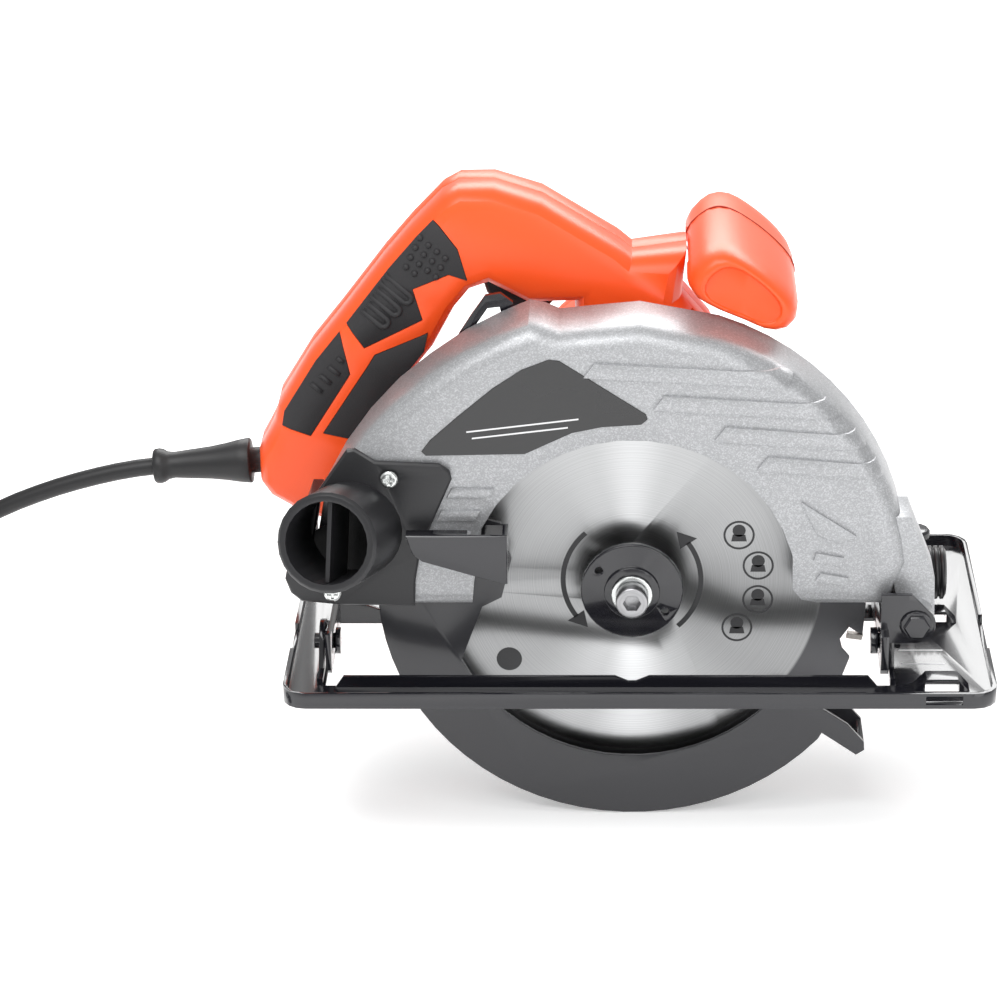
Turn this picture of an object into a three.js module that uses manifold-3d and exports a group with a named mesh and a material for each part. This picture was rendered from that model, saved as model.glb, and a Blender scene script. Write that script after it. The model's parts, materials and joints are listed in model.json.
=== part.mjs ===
// Hand-held circular saw for a 185 mm blade, with its mains lead.
// Millimetres, +Z up, +X is the cutting direction, +Y points away from the blade towards the motor.
// While it is built, the blade's centre is the origin. The finished saw is then moved so that
// the middle of its footprint, on the surface it stands on, is the origin.
import * as THREE from 'three';
import { mergeVertices } from 'three/addons/utils/BufferGeometryUtils.js';
import Module from 'manifold-3d';

const wasm = await Module();
wasm.setup();

// ---------------------------------------------------------------- driving dimensions
const GAP = 0.3; // clearance between pieces that touch
const RUN = 0.5; // clearance between pieces that move past each other

// Blade and its clamp, along Y from the blade's middle plane
const BLADE_R = 92.5;
const BLADE_T = 1.8;
const BLADE_BORE_R = 10;
const TEETH = 24;
const TOOTH_DEPTH = 8;
const FLANGE_R = 19.6;
const FLANGE_FACE = 11.8; // outer flange's front face, in front of the blade's middle
const FLANGE_DISC_T = 2.6;
const FLANGE_HUB_R = 12;
const FLANGE_BOSS_R = 10.6;
const FLANGE_BOSS_T = 1.8;
const WASHER_R = 7.9;
const WASHER_T = 1.5;
const BOLT_HEAD_R = 6.2;
const BOLT_HEAD_T = 7;
const BOLT_SHANK_R = 4;
const BOLT_SHANK_L = 22;
const HEX_SOCKET_R = 3.4;

// Spindle, gears and the two shafts' distance
const SPINDLE_R = 7.5;
const SPINDLE_END_Y = 42;
const MODULE = 1.25;
const PINION_TEETH = 9;
const GEAR_TEETH = 39;
const SHAFT_DISTANCE = ((PINION_TEETH + GEAR_TEETH) / 2) * MODULE;
const TOOTH_SHORTENING = 1.35; // tips stop short, so that the wheels turn freely
const GEAR_T = 9;
const GEAR_CASE_R = 29.5;
const LOCK_COLLAR_R = 12;
const LOCK_COLLAR_Y = 28.5;
const LOCK_PIN_R = 1.6;
const LOCK_NOTCH = 3.2; // depth of the notches the lock pin slides into
const BEARING_R = 15;
const BEARING_T = 9;

// Guards
const LOWER_GUARD_R = 97.5;
const LOWER_GUARD_NEAR_Y = -8.3;
const LOWER_GUARD_FAR_Y = 13.3;
const LOWER_GUARD_T = 1.8;
const LOWER_GUARD_BAND_R = 72.7;
const LOWER_GUARD_HUB_R = 27;
const GUARD_FACE_Y = -12.5;
const GUARD_WALL = 3;
const GUARD_RIM_WALL = 5;
const GUARD_BACK_Y = 16; // inner side of the back wall
const GUARD_BACK_T = 3;
const GUARD_BEVEL = 9;
const GUARD_BOTTOM_Z = -7.5;
const NOSE_R = 21.5; // bearing nose that the lower guard turns on
const LEVER_Y = -25;
const LEVER_T = 2;

// Pivot of the depth setting, slotted bar and its range
const PIVOT_X = 108.6;
const PIVOT_Z = -11;
const PIVOT_BOLT_R = 3;
const LUG_R = 7.5;
const CHEEK_NEAR_Y = -18.5;
const CHEEK_FAR_Y = 14.3;
const STEEL_T = 2.2;
const BAR_R = 196; // radius of the bar's slot about the pivot
const BAR_W = 14;
const BAR_SLOT_W = 2 * PIVOT_BOLT_R + 0.8;
const BAR_NEAR_Y = GUARD_BACK_Y + GUARD_BACK_T + 1.5;
const LOCK_ANGLE = 175.6; // where the lock bolt crosses the slot, in degrees about the pivot
const SLOT_TOP_ANGLE = 145;
const SLOT_BOTTOM_ANGLE = 179.3;

// Bevel axis along X, and the sole
const BEVEL_Y = -6;
const BEVEL_Z = -23.5;
const BEVEL_PIN_R = 3;
const BEVEL_LOCK_R = 53;
const BEVEL_LOCK_ANGLE = 5;
const BEVEL_TRAVEL = 45;
const SOLE_BACK_X = -132.5;
const SOLE_FRONT_X = 138.5;
const SOLE_NEAR_Y = -43.5;
const SOLE_FAR_Y = 104;
const SOLE_Z = -34; // underside
const SOLE_T = 1.6;
const SOLE_RIM_H = 6.3;
const SOLE_CORNER_R = 9;
const SLOT_BACK_X = -117;
const SLOT_FRONT_X = 98.6;
const SLOT_NEAR_Y = -27;
const SLOT_FAR_Y = 33;
const LIP_H = 4.4;
const WEB_X = 95; // front bracket's plate
const FOOT_X = -116.8; // depth bar's foot plate
const TAB_NEAR_Y = -25; // near edge of both plates

// Motor, gear housing and handle
const MOTOR_R = 43;
const MOTOR_WALL = 3;
const GEAR_HOUSING_END_Y = 45;
const MOTOR_HOUSING_END_Y = 134;
const MOTOR_END_Y = 152;
const HANDLE_Y = 52; // middle plane of the handle
const HANDLE_W = 36;
const HANDLE_EDGE = 9;
const PAD_T = 1.6;
const FRONT_GRIP_NEAR_Y = 12;
const FRONT_GRIP_FAR_Y = 92;

// Dust port
const PORT_R = 18.9;
const PORT_BORE_R = 15.6;
const PORT_PLATE_T = 2.7;
const PORT_ROOT = new THREE.Vector3(-105.5, GUARD_FACE_Y, 27);
const PORT_MOUTH = new THREE.Vector3(-112.4, -51, 38);

// Mains lead: strain relief, cord, coil and plug
const CORD_R = 3.5;
const RELIEF_ROOT = new THREE.Vector3(-144.5, HANDLE_Y, 28);
const RELIEF_TIP = new THREE.Vector3(-189, HANDLE_Y, 25);
const COIL_X = -340;
const COIL_Y = HANDLE_Y - 49;
const COIL_RADII = [49, 42, 35];
const COIL_LAYERS = 2;
const FLOOR_Z = -LOWER_GUARD_R;

// ---------------------------------------------------------------- materials
const finish = (color, roughness, metalness) =>
  new THREE.MeshStandardMaterial({ color, roughness, metalness });
const castSilver = finish(0xc4c6ca, 0.42, 0.75);
const orangePlastic = finish(0xff5a22, 0.38, 0);
const softGrip = finish(0x2b2a2d, 0.75, 0);
const blackPlastic = finish(0x26272a, 0.5, 0);
const blackSteel = finish(0x17171b, 0.28, 0.35);
const guardBlack = finish(0x2a2a2e, 0.36, 0.3);
const bladeSteel = finish(0xb9bbbf, 0.3, 1);
const zincSteel = finish(0xcfd4d6, 0.25, 1);
const turnedSteel = finish(0x8f9296, 0.35, 1);
const copper = finish(0xb56a3a, 0.4, 0.9);
const laminate = finish(0x6d7076, 0.5, 0.8);
const carbon = finish(0x1d1d1f, 0.8, 0.1);
const fanPlastic = finish(0x3a3c40, 0.55, 0);
const cordRubber = finish(0x1b1b1d, 0.6, 0);

// ---------------------------------------------------------------- solids
// A closed geometry becomes a solid, whichever way round its faces were made.
function solid(geometry) {
  const bare = geometry.clone();
  bare.deleteAttribute('normal');
  bare.deleteAttribute('uv');
  const merged = mergeVertices(bare, 1e-4);
  const index = merged.index.array;
  const kept = [];
  for (let i = 0; i < index.length; i += 3) {
    const [a, b, c] = [index[i], index[i + 1], index[i + 2]];
    if (a !== b && b !== c && c !== a) kept.push(a, b, c);
  }
  const position = merged.attributes.position;
  const corner = (i) => new THREE.Vector3().fromBufferAttribute(position, i);
  let volume = 0;
  for (let i = 0; i < kept.length; i += 3) {
    volume += corner(kept[i]).dot(corner(kept[i + 1]).cross(corner(kept[i + 2])));
  }
  if (volume < 0) kept.reverse();
  return new wasm.Manifold(
    new wasm.Mesh({
      numProp: 3,
      vertProperties: new Float32Array(position.array),
      triVerts: new Uint32Array(kept),
    }),
  );
}

function geometryOf(body) {
  const mesh = body.getMesh();
  const points = new Float32Array(mesh.numVert * 3);
  for (let i = 0; i < mesh.numVert; i += 1) {
    points.set(mesh.vertProperties.slice(i * mesh.numProp, i * mesh.numProp + 3), i * 3);
  }
  const geometry = new THREE.BufferGeometry();
  geometry.setAttribute('position', new THREE.BufferAttribute(points, 3));
  geometry.setIndex(new THREE.BufferAttribute(new Uint32Array(mesh.triVerts), 1));
  geometry.computeVertexNormals();
  return geometry;
}

const join = (...bodies) => bodies.reduce((sum, body) => sum.add(body));
const cut = (body, ...tools) => tools.reduce((rest, tool) => rest.subtract(tool), body);

// Outlines are lists of [u, v] points. An extrusion along Y takes them as [x, z],
// along X as [y, z] and along Z as [x, y].
function outline(points, holes = []) {
  const shape = new THREE.Shape(points.map(([u, v]) => new THREE.Vector2(u, v)));
  for (const hole of holes) {
    shape.holes.push(new THREE.Path(hole.map(([u, v]) => new THREE.Vector2(u, v))));
  }
  return shape;
}

const AXES = {
  x: new THREE.Matrix4().makeBasis(
    new THREE.Vector3(0, 1, 0), new THREE.Vector3(0, 0, 1), new THREE.Vector3(1, 0, 0)),
  y: new THREE.Matrix4().makeBasis(
    new THREE.Vector3(1, 0, 0), new THREE.Vector3(0, 0, 1), new THREE.Vector3(0, -1, 0)),
  z: new THREE.Matrix4(),
};

// Extrudes an outline between two places along an axis, with an optional rounded edge.
function extrude(axis, points, from, to, { holes = [], edge = 0, inset = edge, steps = 2 } = {}) {
  const geometry = new THREE.ExtrudeGeometry(outline(points, holes), {
    depth: to - from - 2 * edge,
    bevelEnabled: edge > 0,
    bevelThickness: edge,
    bevelSize: inset,
    bevelOffset: -inset,
    bevelSegments: steps,
    steps: 1,
    curveSegments: 8,
  });
  geometry.translate(0, 0, edge);
  geometry.applyMatrix4(AXES[axis]);
  const shift = { x: [from, 0, 0], y: [0, to, 0], z: [0, 0, from] }[axis];
  geometry.translate(...shift);
  return solid(geometry);
}

// A body of revolution about the Y axis through (x, z): profile points are [radius, y].
function turned(profile, x = 0, z = 0, segments = 24) {
  const geometry = new THREE.LatheGeometry(
    profile.map(([r, y]) => new THREE.Vector2(r, y)), segments);
  geometry.translate(x, 0, z);
  return solid(geometry);
}

// A plain rod or ring about Y; inner is the bore's radius, or 0.
function rod(radius, from, to, { x = 0, z = 0, inner = 0, segments = 20, edge = 0 } = {}) {
  const outer = [
    [radius - edge, from], ...(edge ? [[radius, from + edge], [radius, to - edge]] : []),
    [radius - edge, to],
  ];
  const profile = inner
    ? [[inner, from], ...outer, [inner, to], [inner, from]]
    : [[0, from], ...outer, [0, to]];
  return turned(profile, x, z, segments);
}

// Turns a body made about Y so that its +Y points along a direction, and puts it at a place.
function aim(body, direction, place) {
  const turn = new THREE.Quaternion().setFromUnitVectors(
    new THREE.Vector3(0, 1, 0), direction.clone().normalize());
  const geometry = geometryOf(body);
  geometry.applyQuaternion(turn);
  geometry.translate(place.x, place.y, place.z);
  return solid(geometry);
}

function box(x0, x1, y0, y1, z0, z1) {
  const geometry = new THREE.BoxGeometry(x1 - x0, y1 - y0, z1 - z0);
  geometry.translate((x0 + x1) / 2, (y0 + y1) / 2, (z0 + z1) / 2);
  return solid(geometry);
}

// Points of an arc in degrees, from one angle to another; a count of 0 gives its first point.
function arc(radius, from, to, count, x = 0, z = 0) {
  return Array.from({ length: count + 1 }, (_, i) => {
    const a = THREE.MathUtils.degToRad(from + ((to - from) * i) / Math.max(count, 1));
    return [x + radius * Math.cos(a), z + radius * Math.sin(a)];
  });
}

const circle = (radius, count, x = 0, z = 0) => arc(radius, 0, 360, count, x, z).slice(0, -1);

// A smooth closed or open curve through a few points, as evenly spaced points.
function smooth(points, count, closed = false) {
  const curve = new THREE.CatmullRomCurve3(
    points.map(([u, v]) => new THREE.Vector3(u, v, 0)), closed, 'centripetal');
  const samples = curve.getSpacedPoints(count).map((p) => [p.x, p.y]);
  return closed ? samples.slice(0, -1) : samples;
}

// Moves each point of a closed, counter-clockwise outline inwards by a distance.
function inset(points, distance) {
  return points.map(([u, v], i) => {
    const [pu, pv] = points[(i + points.length - 1) % points.length];
    const [nu, nv] = points[(i + 1) % points.length];
    const before = new THREE.Vector2(u - pu, v - pv).normalize();
    const after = new THREE.Vector2(nu - u, nv - v).normalize();
    const along = before.add(after).normalize();
    return [u - along.y * distance, v + along.x * distance];
  });
}

// Joins rings of equally many [x, z] points, each at its own y, into one closed body.
function loft(rings) {
  const count = rings[0].points.length;
  const points = rings.flatMap(({ points: ring, y }) => ring.map(([x, z]) => [x, y, z]));
  const index = [];
  for (let r = 0; r + 1 < rings.length; r += 1) {
    for (let i = 0; i < count; i += 1) {
      const [a, b] = [r * count + i, r * count + ((i + 1) % count)];
      index.push(a, b, b + count, a, b + count, a + count);
    }
  }
  for (const [r, flip] of [[0, true], [rings.length - 1, false]]) {
    const ring = rings[r];
    const hub = points.length;
    const mean = (k) => ring.points.reduce((sum, p) => sum + p[k], 0) / count;
    points.push([mean(0), ring.y, mean(1)]);
    for (let i = 0; i < count; i += 1) {
      const [a, b] = [r * count + i, r * count + ((i + 1) % count)];
      index.push(...(flip ? [b, a, hub] : [a, b, hub]));
    }
  }
  const geometry = new THREE.BufferGeometry();
  geometry.setAttribute('position', new THREE.Float32BufferAttribute(points.flat(), 3));
  geometry.setIndex(index);
  return solid(geometry);
}

const saw = new THREE.Group();
const lead = new THREE.Group();

function place(group, name, body, material) {
  const mesh = new THREE.Mesh(geometryOf(body), material);
  mesh.name = name;
  group.add(mesh);
}

// ---------------------------------------------------------------- blade, clamp and spindle
function bladeOutline() {
  const points = [];
  const pitch = 360 / TEETH;
  for (let i = 0; i < TEETH; i += 1) {
    const a = -i * pitch;
    points.push(...arc(BLADE_R, a, a, 0));
    points.push(...arc(BLADE_R - TOOTH_DEPTH * 0.75, a + 1.5, a + 1.5, 0));
    points.push(...arc(BLADE_R - TOOTH_DEPTH, a - 2.5, a - 2.5, 0));
    points.push(...arc(BLADE_R - TOOTH_DEPTH * 0.7, a - 5, a - 5, 0));
    points.push(...arc(BLADE_R - 1.6, a - 6.5, a - 6.5, 0));
  }
  return points.reverse();
}

function buildBladeClamp() {
  const half = BLADE_T / 2;
  const flangeBack = -(half + GAP);
  const disc = -FLANGE_FACE + FLANGE_DISC_T;
  const boss = -FLANGE_FACE - FLANGE_BOSS_T;
  place(saw, 'blade', extrude('y', bladeOutline(), -half, half,
    { holes: [circle(BLADE_BORE_R, 32)] }), bladeSteel);
  const outerFlange = turned([
    [BOLT_SHANK_R + GAP, flangeBack], [FLANGE_HUB_R, flangeBack], [FLANGE_HUB_R, disc],
    [FLANGE_R, disc], [FLANGE_R, -FLANGE_FACE + 0.4], [FLANGE_R - 0.4, -FLANGE_FACE],
    [FLANGE_BOSS_R, -FLANGE_FACE], [FLANGE_BOSS_R, boss], [BOLT_SHANK_R + GAP, boss],
    [BOLT_SHANK_R + GAP, flangeBack],
  ], 0, 0, 32);
  const spannerHoles = [1, -1].map((side) =>
    rod(1.6, -FLANGE_FACE - 1, disc + 1, { x: -12.6 * side, z: 8.6 * side, segments: 12 }));
  place(saw, 'outer_flange', cut(outerFlange, ...spannerHoles), blackSteel);
  const washerBack = boss - GAP;
  const headBack = washerBack - WASHER_T - GAP;
  place(saw, 'blade_washer', rod(WASHER_R, washerBack - WASHER_T, washerBack,
    { inner: BOLT_SHANK_R + GAP, edge: 0.3 }), zincSteel);
  const head = rod(BOLT_HEAD_R, headBack - BOLT_HEAD_T, headBack, { edge: 0.5 });
  const shank = rod(BOLT_SHANK_R, headBack - 0.1, headBack + BOLT_SHANK_L, { segments: 20 });
  const socket = extrude('y', circle(HEX_SOCKET_R, 6), headBack - BOLT_HEAD_T - 1, headBack - 2.5);
  place(saw, 'blade_bolt', cut(join(head, shank), socket), turnedSteel);
  const innerFlange = turned([
    [SPINDLE_R + GAP, half + GAP], [FLANGE_R, half + GAP], [FLANGE_R, 5.5], [12, 6.5],
    [SPINDLE_R + GAP, 6.5], [SPINDLE_R + GAP, half + GAP],
  ]);
  place(saw, 'inner_flange', innerFlange, turnedSteel);
  const notch = LOCK_PIN_R + RUN;
  const notches = [0, 90, 180, 270].map((angle) => box(LOCK_COLLAR_R - LOCK_NOTCH,
    LOCK_COLLAR_R + 1, LOCK_COLLAR_Y - 2, LOCK_COLLAR_Y + 2, -notch, notch)
    .rotate([0, angle, 0]));
  const collar = cut(
    rod(LOCK_COLLAR_R, LOCK_COLLAR_Y - 1.6, LOCK_COLLAR_Y + 1.6, { segments: 24 }), ...notches);
  const spindle = join(
    collar,
    rod(SPINDLE_R, half + GAP + 0.2, SPINDLE_END_Y),
    rod(BLADE_BORE_R - GAP, -half, half + 0.1, { segments: 32 }),
    rod(SPINDLE_R, half, half + 1),
  );
  const thread = rod(BOLT_SHANK_R + GAP, -half - 1, headBack + BOLT_SHANK_L + 1, { segments: 20 });
  place(saw, 'spindle', cut(spindle, thread), turnedSteel);
}

// ---------------------------------------------------------------- gears, bearings and motor
function gearOutline(teeth, tip, root) {
  const points = [];
  for (let i = 0; i < teeth; i += 1) {
    const pitch = 360 / teeth;
    const a = i * pitch;
    points.push(...arc(root, a - pitch * 0.3, a - pitch * 0.3, 0));
    points.push(...arc(tip, a - pitch * 0.12, a + pitch * 0.12, 1));
    points.push(...arc(root, a + pitch * 0.3, a + pitch * 0.3, 0));
  }
  return points;
}

const GEAR_NEAR_Y = 30.5;
const GEAR_TIP_R = (GEAR_TEETH / 2 + 1) * MODULE - TOOTH_SHORTENING;
const PINION_TIP_R = (PINION_TEETH / 2 + 1) * MODULE - TOOTH_SHORTENING;
const MOTOR_Z = SHAFT_DISTANCE;
const FRONT_BEARING_Y = GEAR_HOUSING_END_Y - 3;
const LOCK_BUTTON_X = GEAR_CASE_R + 8;

function buildDrive() {
  const gear = cut(
    extrude('y', gearOutline(GEAR_TEETH, GEAR_TIP_R, GEAR_TIP_R - 1.7), GEAR_NEAR_Y,
      GEAR_NEAR_Y + GEAR_T),
    rod(SPINDLE_R + GAP, GEAR_NEAR_Y - 1, GEAR_NEAR_Y + GEAR_T + 1));
  place(saw, 'driven_gear', gear, turnedSteel);
  place(saw, 'spindle_bearing', rod(BEARING_R, GUARD_BACK_Y + 1.5, GUARD_BACK_Y + 1.5 + BEARING_T,
    { inner: SPINDLE_R + GAP }), turnedSteel);
  const shaft = join(
    rod(4.8, FRONT_BEARING_Y, MOTOR_END_Y - 8, { z: MOTOR_Z, segments: 20 }),
    extrude('y', gearOutline(PINION_TEETH, PINION_TIP_R, PINION_TIP_R - 1.6)
      .map(([x, z]) => [x, z + MOTOR_Z]), GEAR_NEAR_Y - 1, FRONT_BEARING_Y + 0.1));
  place(saw, 'armature_shaft', shaft, turnedSteel);
  place(saw, 'front_bearing', rod(11, FRONT_BEARING_Y + 4, FRONT_BEARING_Y + 11,
    { z: MOTOR_Z, inner: 4.8 + GAP, segments: 18 }), turnedSteel);
  place(saw, 'rear_bearing', rod(9.5, MOTOR_END_Y - 15, MOTOR_END_Y - 8,
    { z: MOTOR_Z, inner: 4.8 + GAP, segments: 18 }), turnedSteel);
  const blades = Array.from({ length: 9 }, (_, i) => {
    const a = (i * 2 * Math.PI) / 9;
    const [c, s] = [Math.cos(a), Math.sin(a)];
    const near = [12 * c, 12 * s];
    const far = [34 * Math.cos(a + 0.25), 34 * Math.sin(a + 0.25)];
    const w = [-s * 0.9, c * 0.9];
    return extrude('y', [
      [near[0] - w[0], MOTOR_Z + near[1] - w[1]], [far[0] - w[0], MOTOR_Z + far[1] - w[1]],
      [far[0] + w[0], MOTOR_Z + far[1] + w[1]], [near[0] + w[0], MOTOR_Z + near[1] + w[1]],
    ], 57, 66);
  });
  const fan = join(
    rod(35, 65, 67, { z: MOTOR_Z, inner: 4.8 + GAP, segments: 32 }),
    rod(13, 57, 65.5, { z: MOTOR_Z, inner: 4.8 + GAP, segments: 18 }), ...blades);
  place(saw, 'cooling_fan', fan, fanPlastic);
  place(saw, 'armature_core', rod(19, 72, 106, { z: MOTOR_Z, inner: 4.8 + GAP, edge: 3 }), copper);
  place(saw, 'commutator', rod(11.5, 110, 126, { z: MOTOR_Z, inner: 4.8 + GAP, segments: 18 }),
    copper);
  place(saw, 'stator', rod(MOTOR_R - MOTOR_WALL - 1, 70, 107,
    { z: MOTOR_Z, inner: 19 + RUN + 0.3, segments: 32 }), laminate);
  for (const [name, side] of [['upper', 1], ['lower', -1]]) {
    const axis = new THREE.Vector3(0, 0, side);
    const at = (distance) => new THREE.Vector3(0, 118, MOTOR_Z + side * distance);
    place(saw, `carbon_brush_${name}`,
      box(-3, 3, 113, 123, MOTOR_Z + (side > 0 ? 12 : -26), MOTOR_Z + (side > 0 ? 26 : -12)),
      carbon);
    const cap = cut(rod(7, 0, 14, { segments: 18, edge: 0.6 }), box(-8, 8, 13, 15, -0.8, 0.8));
    place(saw, `brush_cap_${name}`, aim(cap, axis, at(MOTOR_R - 13)), blackPlastic);
  }
}

function buildHousings() {
  // The gear housing is an oblong casting around both shafts, open towards the motor.
  const around = (grow) => [
    ...arc(GEAR_CASE_R + grow, 200, 340, 8), ...arc(40 + grow, -25, 205, 16, 0, MOTOR_Z),
  ];
  const front = GUARD_BACK_Y + GUARD_BACK_T + GAP;
  const boss = pinAlongX(6.5, GEAR_CASE_R - 6, LOCK_BUTTON_X - RUN, LOCK_COLLAR_Y, 0, 18);
  const shell = cut(
    join(extrude('y', around(0), front, GEAR_HOUSING_END_Y, { edge: 2 }), boss),
    extrude('y', around(-3.5), front + 8.5, GEAR_HOUSING_END_Y + 1),
    rod(BEARING_R + GAP, front - 1, front + 12),
    pinAlongX(LOCK_PIN_R + GAP, LOCK_COLLAR_R - 1, 40, LOCK_COLLAR_Y, 0, 12));
  const bridge = cut(
    box(-38, 38, FRONT_BEARING_Y + 0.6, GEAR_HOUSING_END_Y - 0.1, MOTOR_Z - 12, MOTOR_Z + 12),
    rod(6, FRONT_BEARING_Y - 2, GEAR_HOUSING_END_Y + 2, { z: MOTOR_Z, segments: 20 }));
  place(saw, 'gear_housing', join(shell, bridge), castSilver);

  const start = GEAR_HOUSING_END_Y + GAP;
  const housing = turned([
    [MOTOR_R - MOTOR_WALL, start], [MOTOR_R, start], [MOTOR_R, MOTOR_HOUSING_END_Y - 2],
    [MOTOR_R - 1.5, MOTOR_HOUSING_END_Y], [MOTOR_R - 1.5 - MOTOR_WALL, MOTOR_HOUSING_END_Y],
    [MOTOR_R - MOTOR_WALL, MOTOR_HOUSING_END_Y - 2], [MOTOR_R - MOTOR_WALL, start],
  ], 0, MOTOR_Z, 32);
  const capHoles = [1, -1].map((side) => aim(rod(7 + GAP, 0, 20, { segments: 18 }),
    new THREE.Vector3(0, 0, side), new THREE.Vector3(0, 118, MOTOR_Z + side * 34)));
  const carrier = cut(rod(MOTOR_R - 1, start, start + 8, { z: MOTOR_Z, segments: 32 }),
    rod(11 + GAP, start - 1, start + 9, { z: MOTOR_Z, segments: 18 }));
  const outlets = Array.from({ length: 5 }, (_, i) => {
    const slot = extrude('x', circle(2.2, 8, 60, 0), 30, 60);
    return aimSlot(slot, -150 + i * 14);
  });
  place(saw, 'motor_housing', cut(join(housing, carrier), ...capHoles, ...outlets), orangePlastic);

  const capStart = MOTOR_HOUSING_END_Y + GAP;
  const end = turned([
    [0, MOTOR_END_Y], [MOTOR_R - 10, MOTOR_END_Y], [MOTOR_R - 4, MOTOR_END_Y - 3],
    [MOTOR_R - 1.5, MOTOR_END_Y - 9], [MOTOR_R - 1.5, capStart], [MOTOR_R - 4.5, capStart],
    [MOTOR_R - 4.5, MOTOR_END_Y - 8], [MOTOR_R - 9, MOTOR_END_Y - 5], [12.5, MOTOR_END_Y - 5],
    [12.5, MOTOR_END_Y - 15], [9.5 + GAP, MOTOR_END_Y - 15], [9.5 + GAP, MOTOR_END_Y - 5],
    [0, MOTOR_END_Y - 5],
  ], 0, MOTOR_Z, 32);
  const vents = [-3, -2, -1, 1, 2, 3].map((row) => {
    const half = Math.sqrt((MOTOR_R - 13) ** 2 - (row * 8) ** 2);
    return box(-half, half, MOTOR_END_Y - 7, MOTOR_END_Y + 1,
      MOTOR_Z + row * 8 - 1.6, MOTOR_Z + row * 8 + 1.6);
  });
  const middle = rod(14, MOTOR_END_Y - 6, MOTOR_END_Y - 1, { z: MOTOR_Z });
  place(saw, 'motor_end_cap', join(cut(end, ...vents), middle), orangePlastic);
}

// Turns a slot cutter about the motor's axis by an angle in degrees.
function aimSlot(body, angle) {
  const geometry = geometryOf(body);
  geometry.rotateY(THREE.MathUtils.degToRad(-angle));
  geometry.translate(0, 0, MOTOR_Z);
  return solid(geometry);
}

// ---------------------------------------------------------------- guards
// The upper guard's outline behind its near face, counter-clockwise from the front bottom.
const GUARD_OUTLINE = [
  [98, GUARD_BOTTOM_Z], ...arc(106.5, 6, 72, 12), [2.9, 107], [-16, 105.2], [-27.1, 104],
  [-33, 106.6], [-38.5, 107.6], [-49.7, 102.6], [-63, 95.5], [-76.4, 86], [-88.5, 76],
  [-99.8, 63.5], [-109.7, 49.6], [-117, 36], [-120, 20], [-119, 6], [-114, GUARD_BOTTOM_Z],
];
const OPENING_R = 63;
const OPENING = [
  [-61.5, GUARD_BOTTOM_Z - 2], [-60.3, 4], [-57.5, 22],
  ...arc(OPENING_R, 155, 14, 14), [61.4, 1.3], [65, -3.6], [76, -6.8], [84, GUARD_BOTTOM_Z - 2],
];

// Raised bands that follow the guard's face and its rounded edge.
function guardRelief(outside, hollow) {
  const bar = (points) => extrude('y', points, GUARD_FACE_Y - 2, GUARD_FACE_Y + 8);
  const slant = (x0, x1, z0, z1, lean) => [
    [x0, z0], [x1, z0 - lean], [x1 + 4, z1 - lean], [x0 + 4, z1],
  ];
  const bands = join(
    bar([[-70, 39.5], [-55, 39.5], [-52, 43.5], [-68, 43.5]]),
    bar([[-73.8, 30.5], [-59.5, 30.5], [-57.5, 34.5], [-72, 34.5]]),
    bar([[-77, 22], [-63, 22], [-61, 25.5], [-75.6, 25.5]]),
    bar([[70, 5.5], [81, 3.5], [82.5, 6.5], [72, 8.5]]),
    bar([[69, 13.5], [79.5, 11.5], [80.5, 15], [70, 17]]),
    bar([[64, 38], [85, 24], [79, 21], [70, 25]]),
    bar(slant(-18, 58, 88.5, 94, 4)),
    bar(slant(8, 80, 75.5, 81, 4)),
    bar(slant(31, 88, 63, 68.5, 4)),
    bar(slant(47, 96, 51, 56.5, 4)),
  );
  return cut(bands.intersect(outside.translate([0, -RELIEF_HEIGHT, 0])), hollow);
}

const RELIEF_HEIGHT = 1.3;

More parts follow.
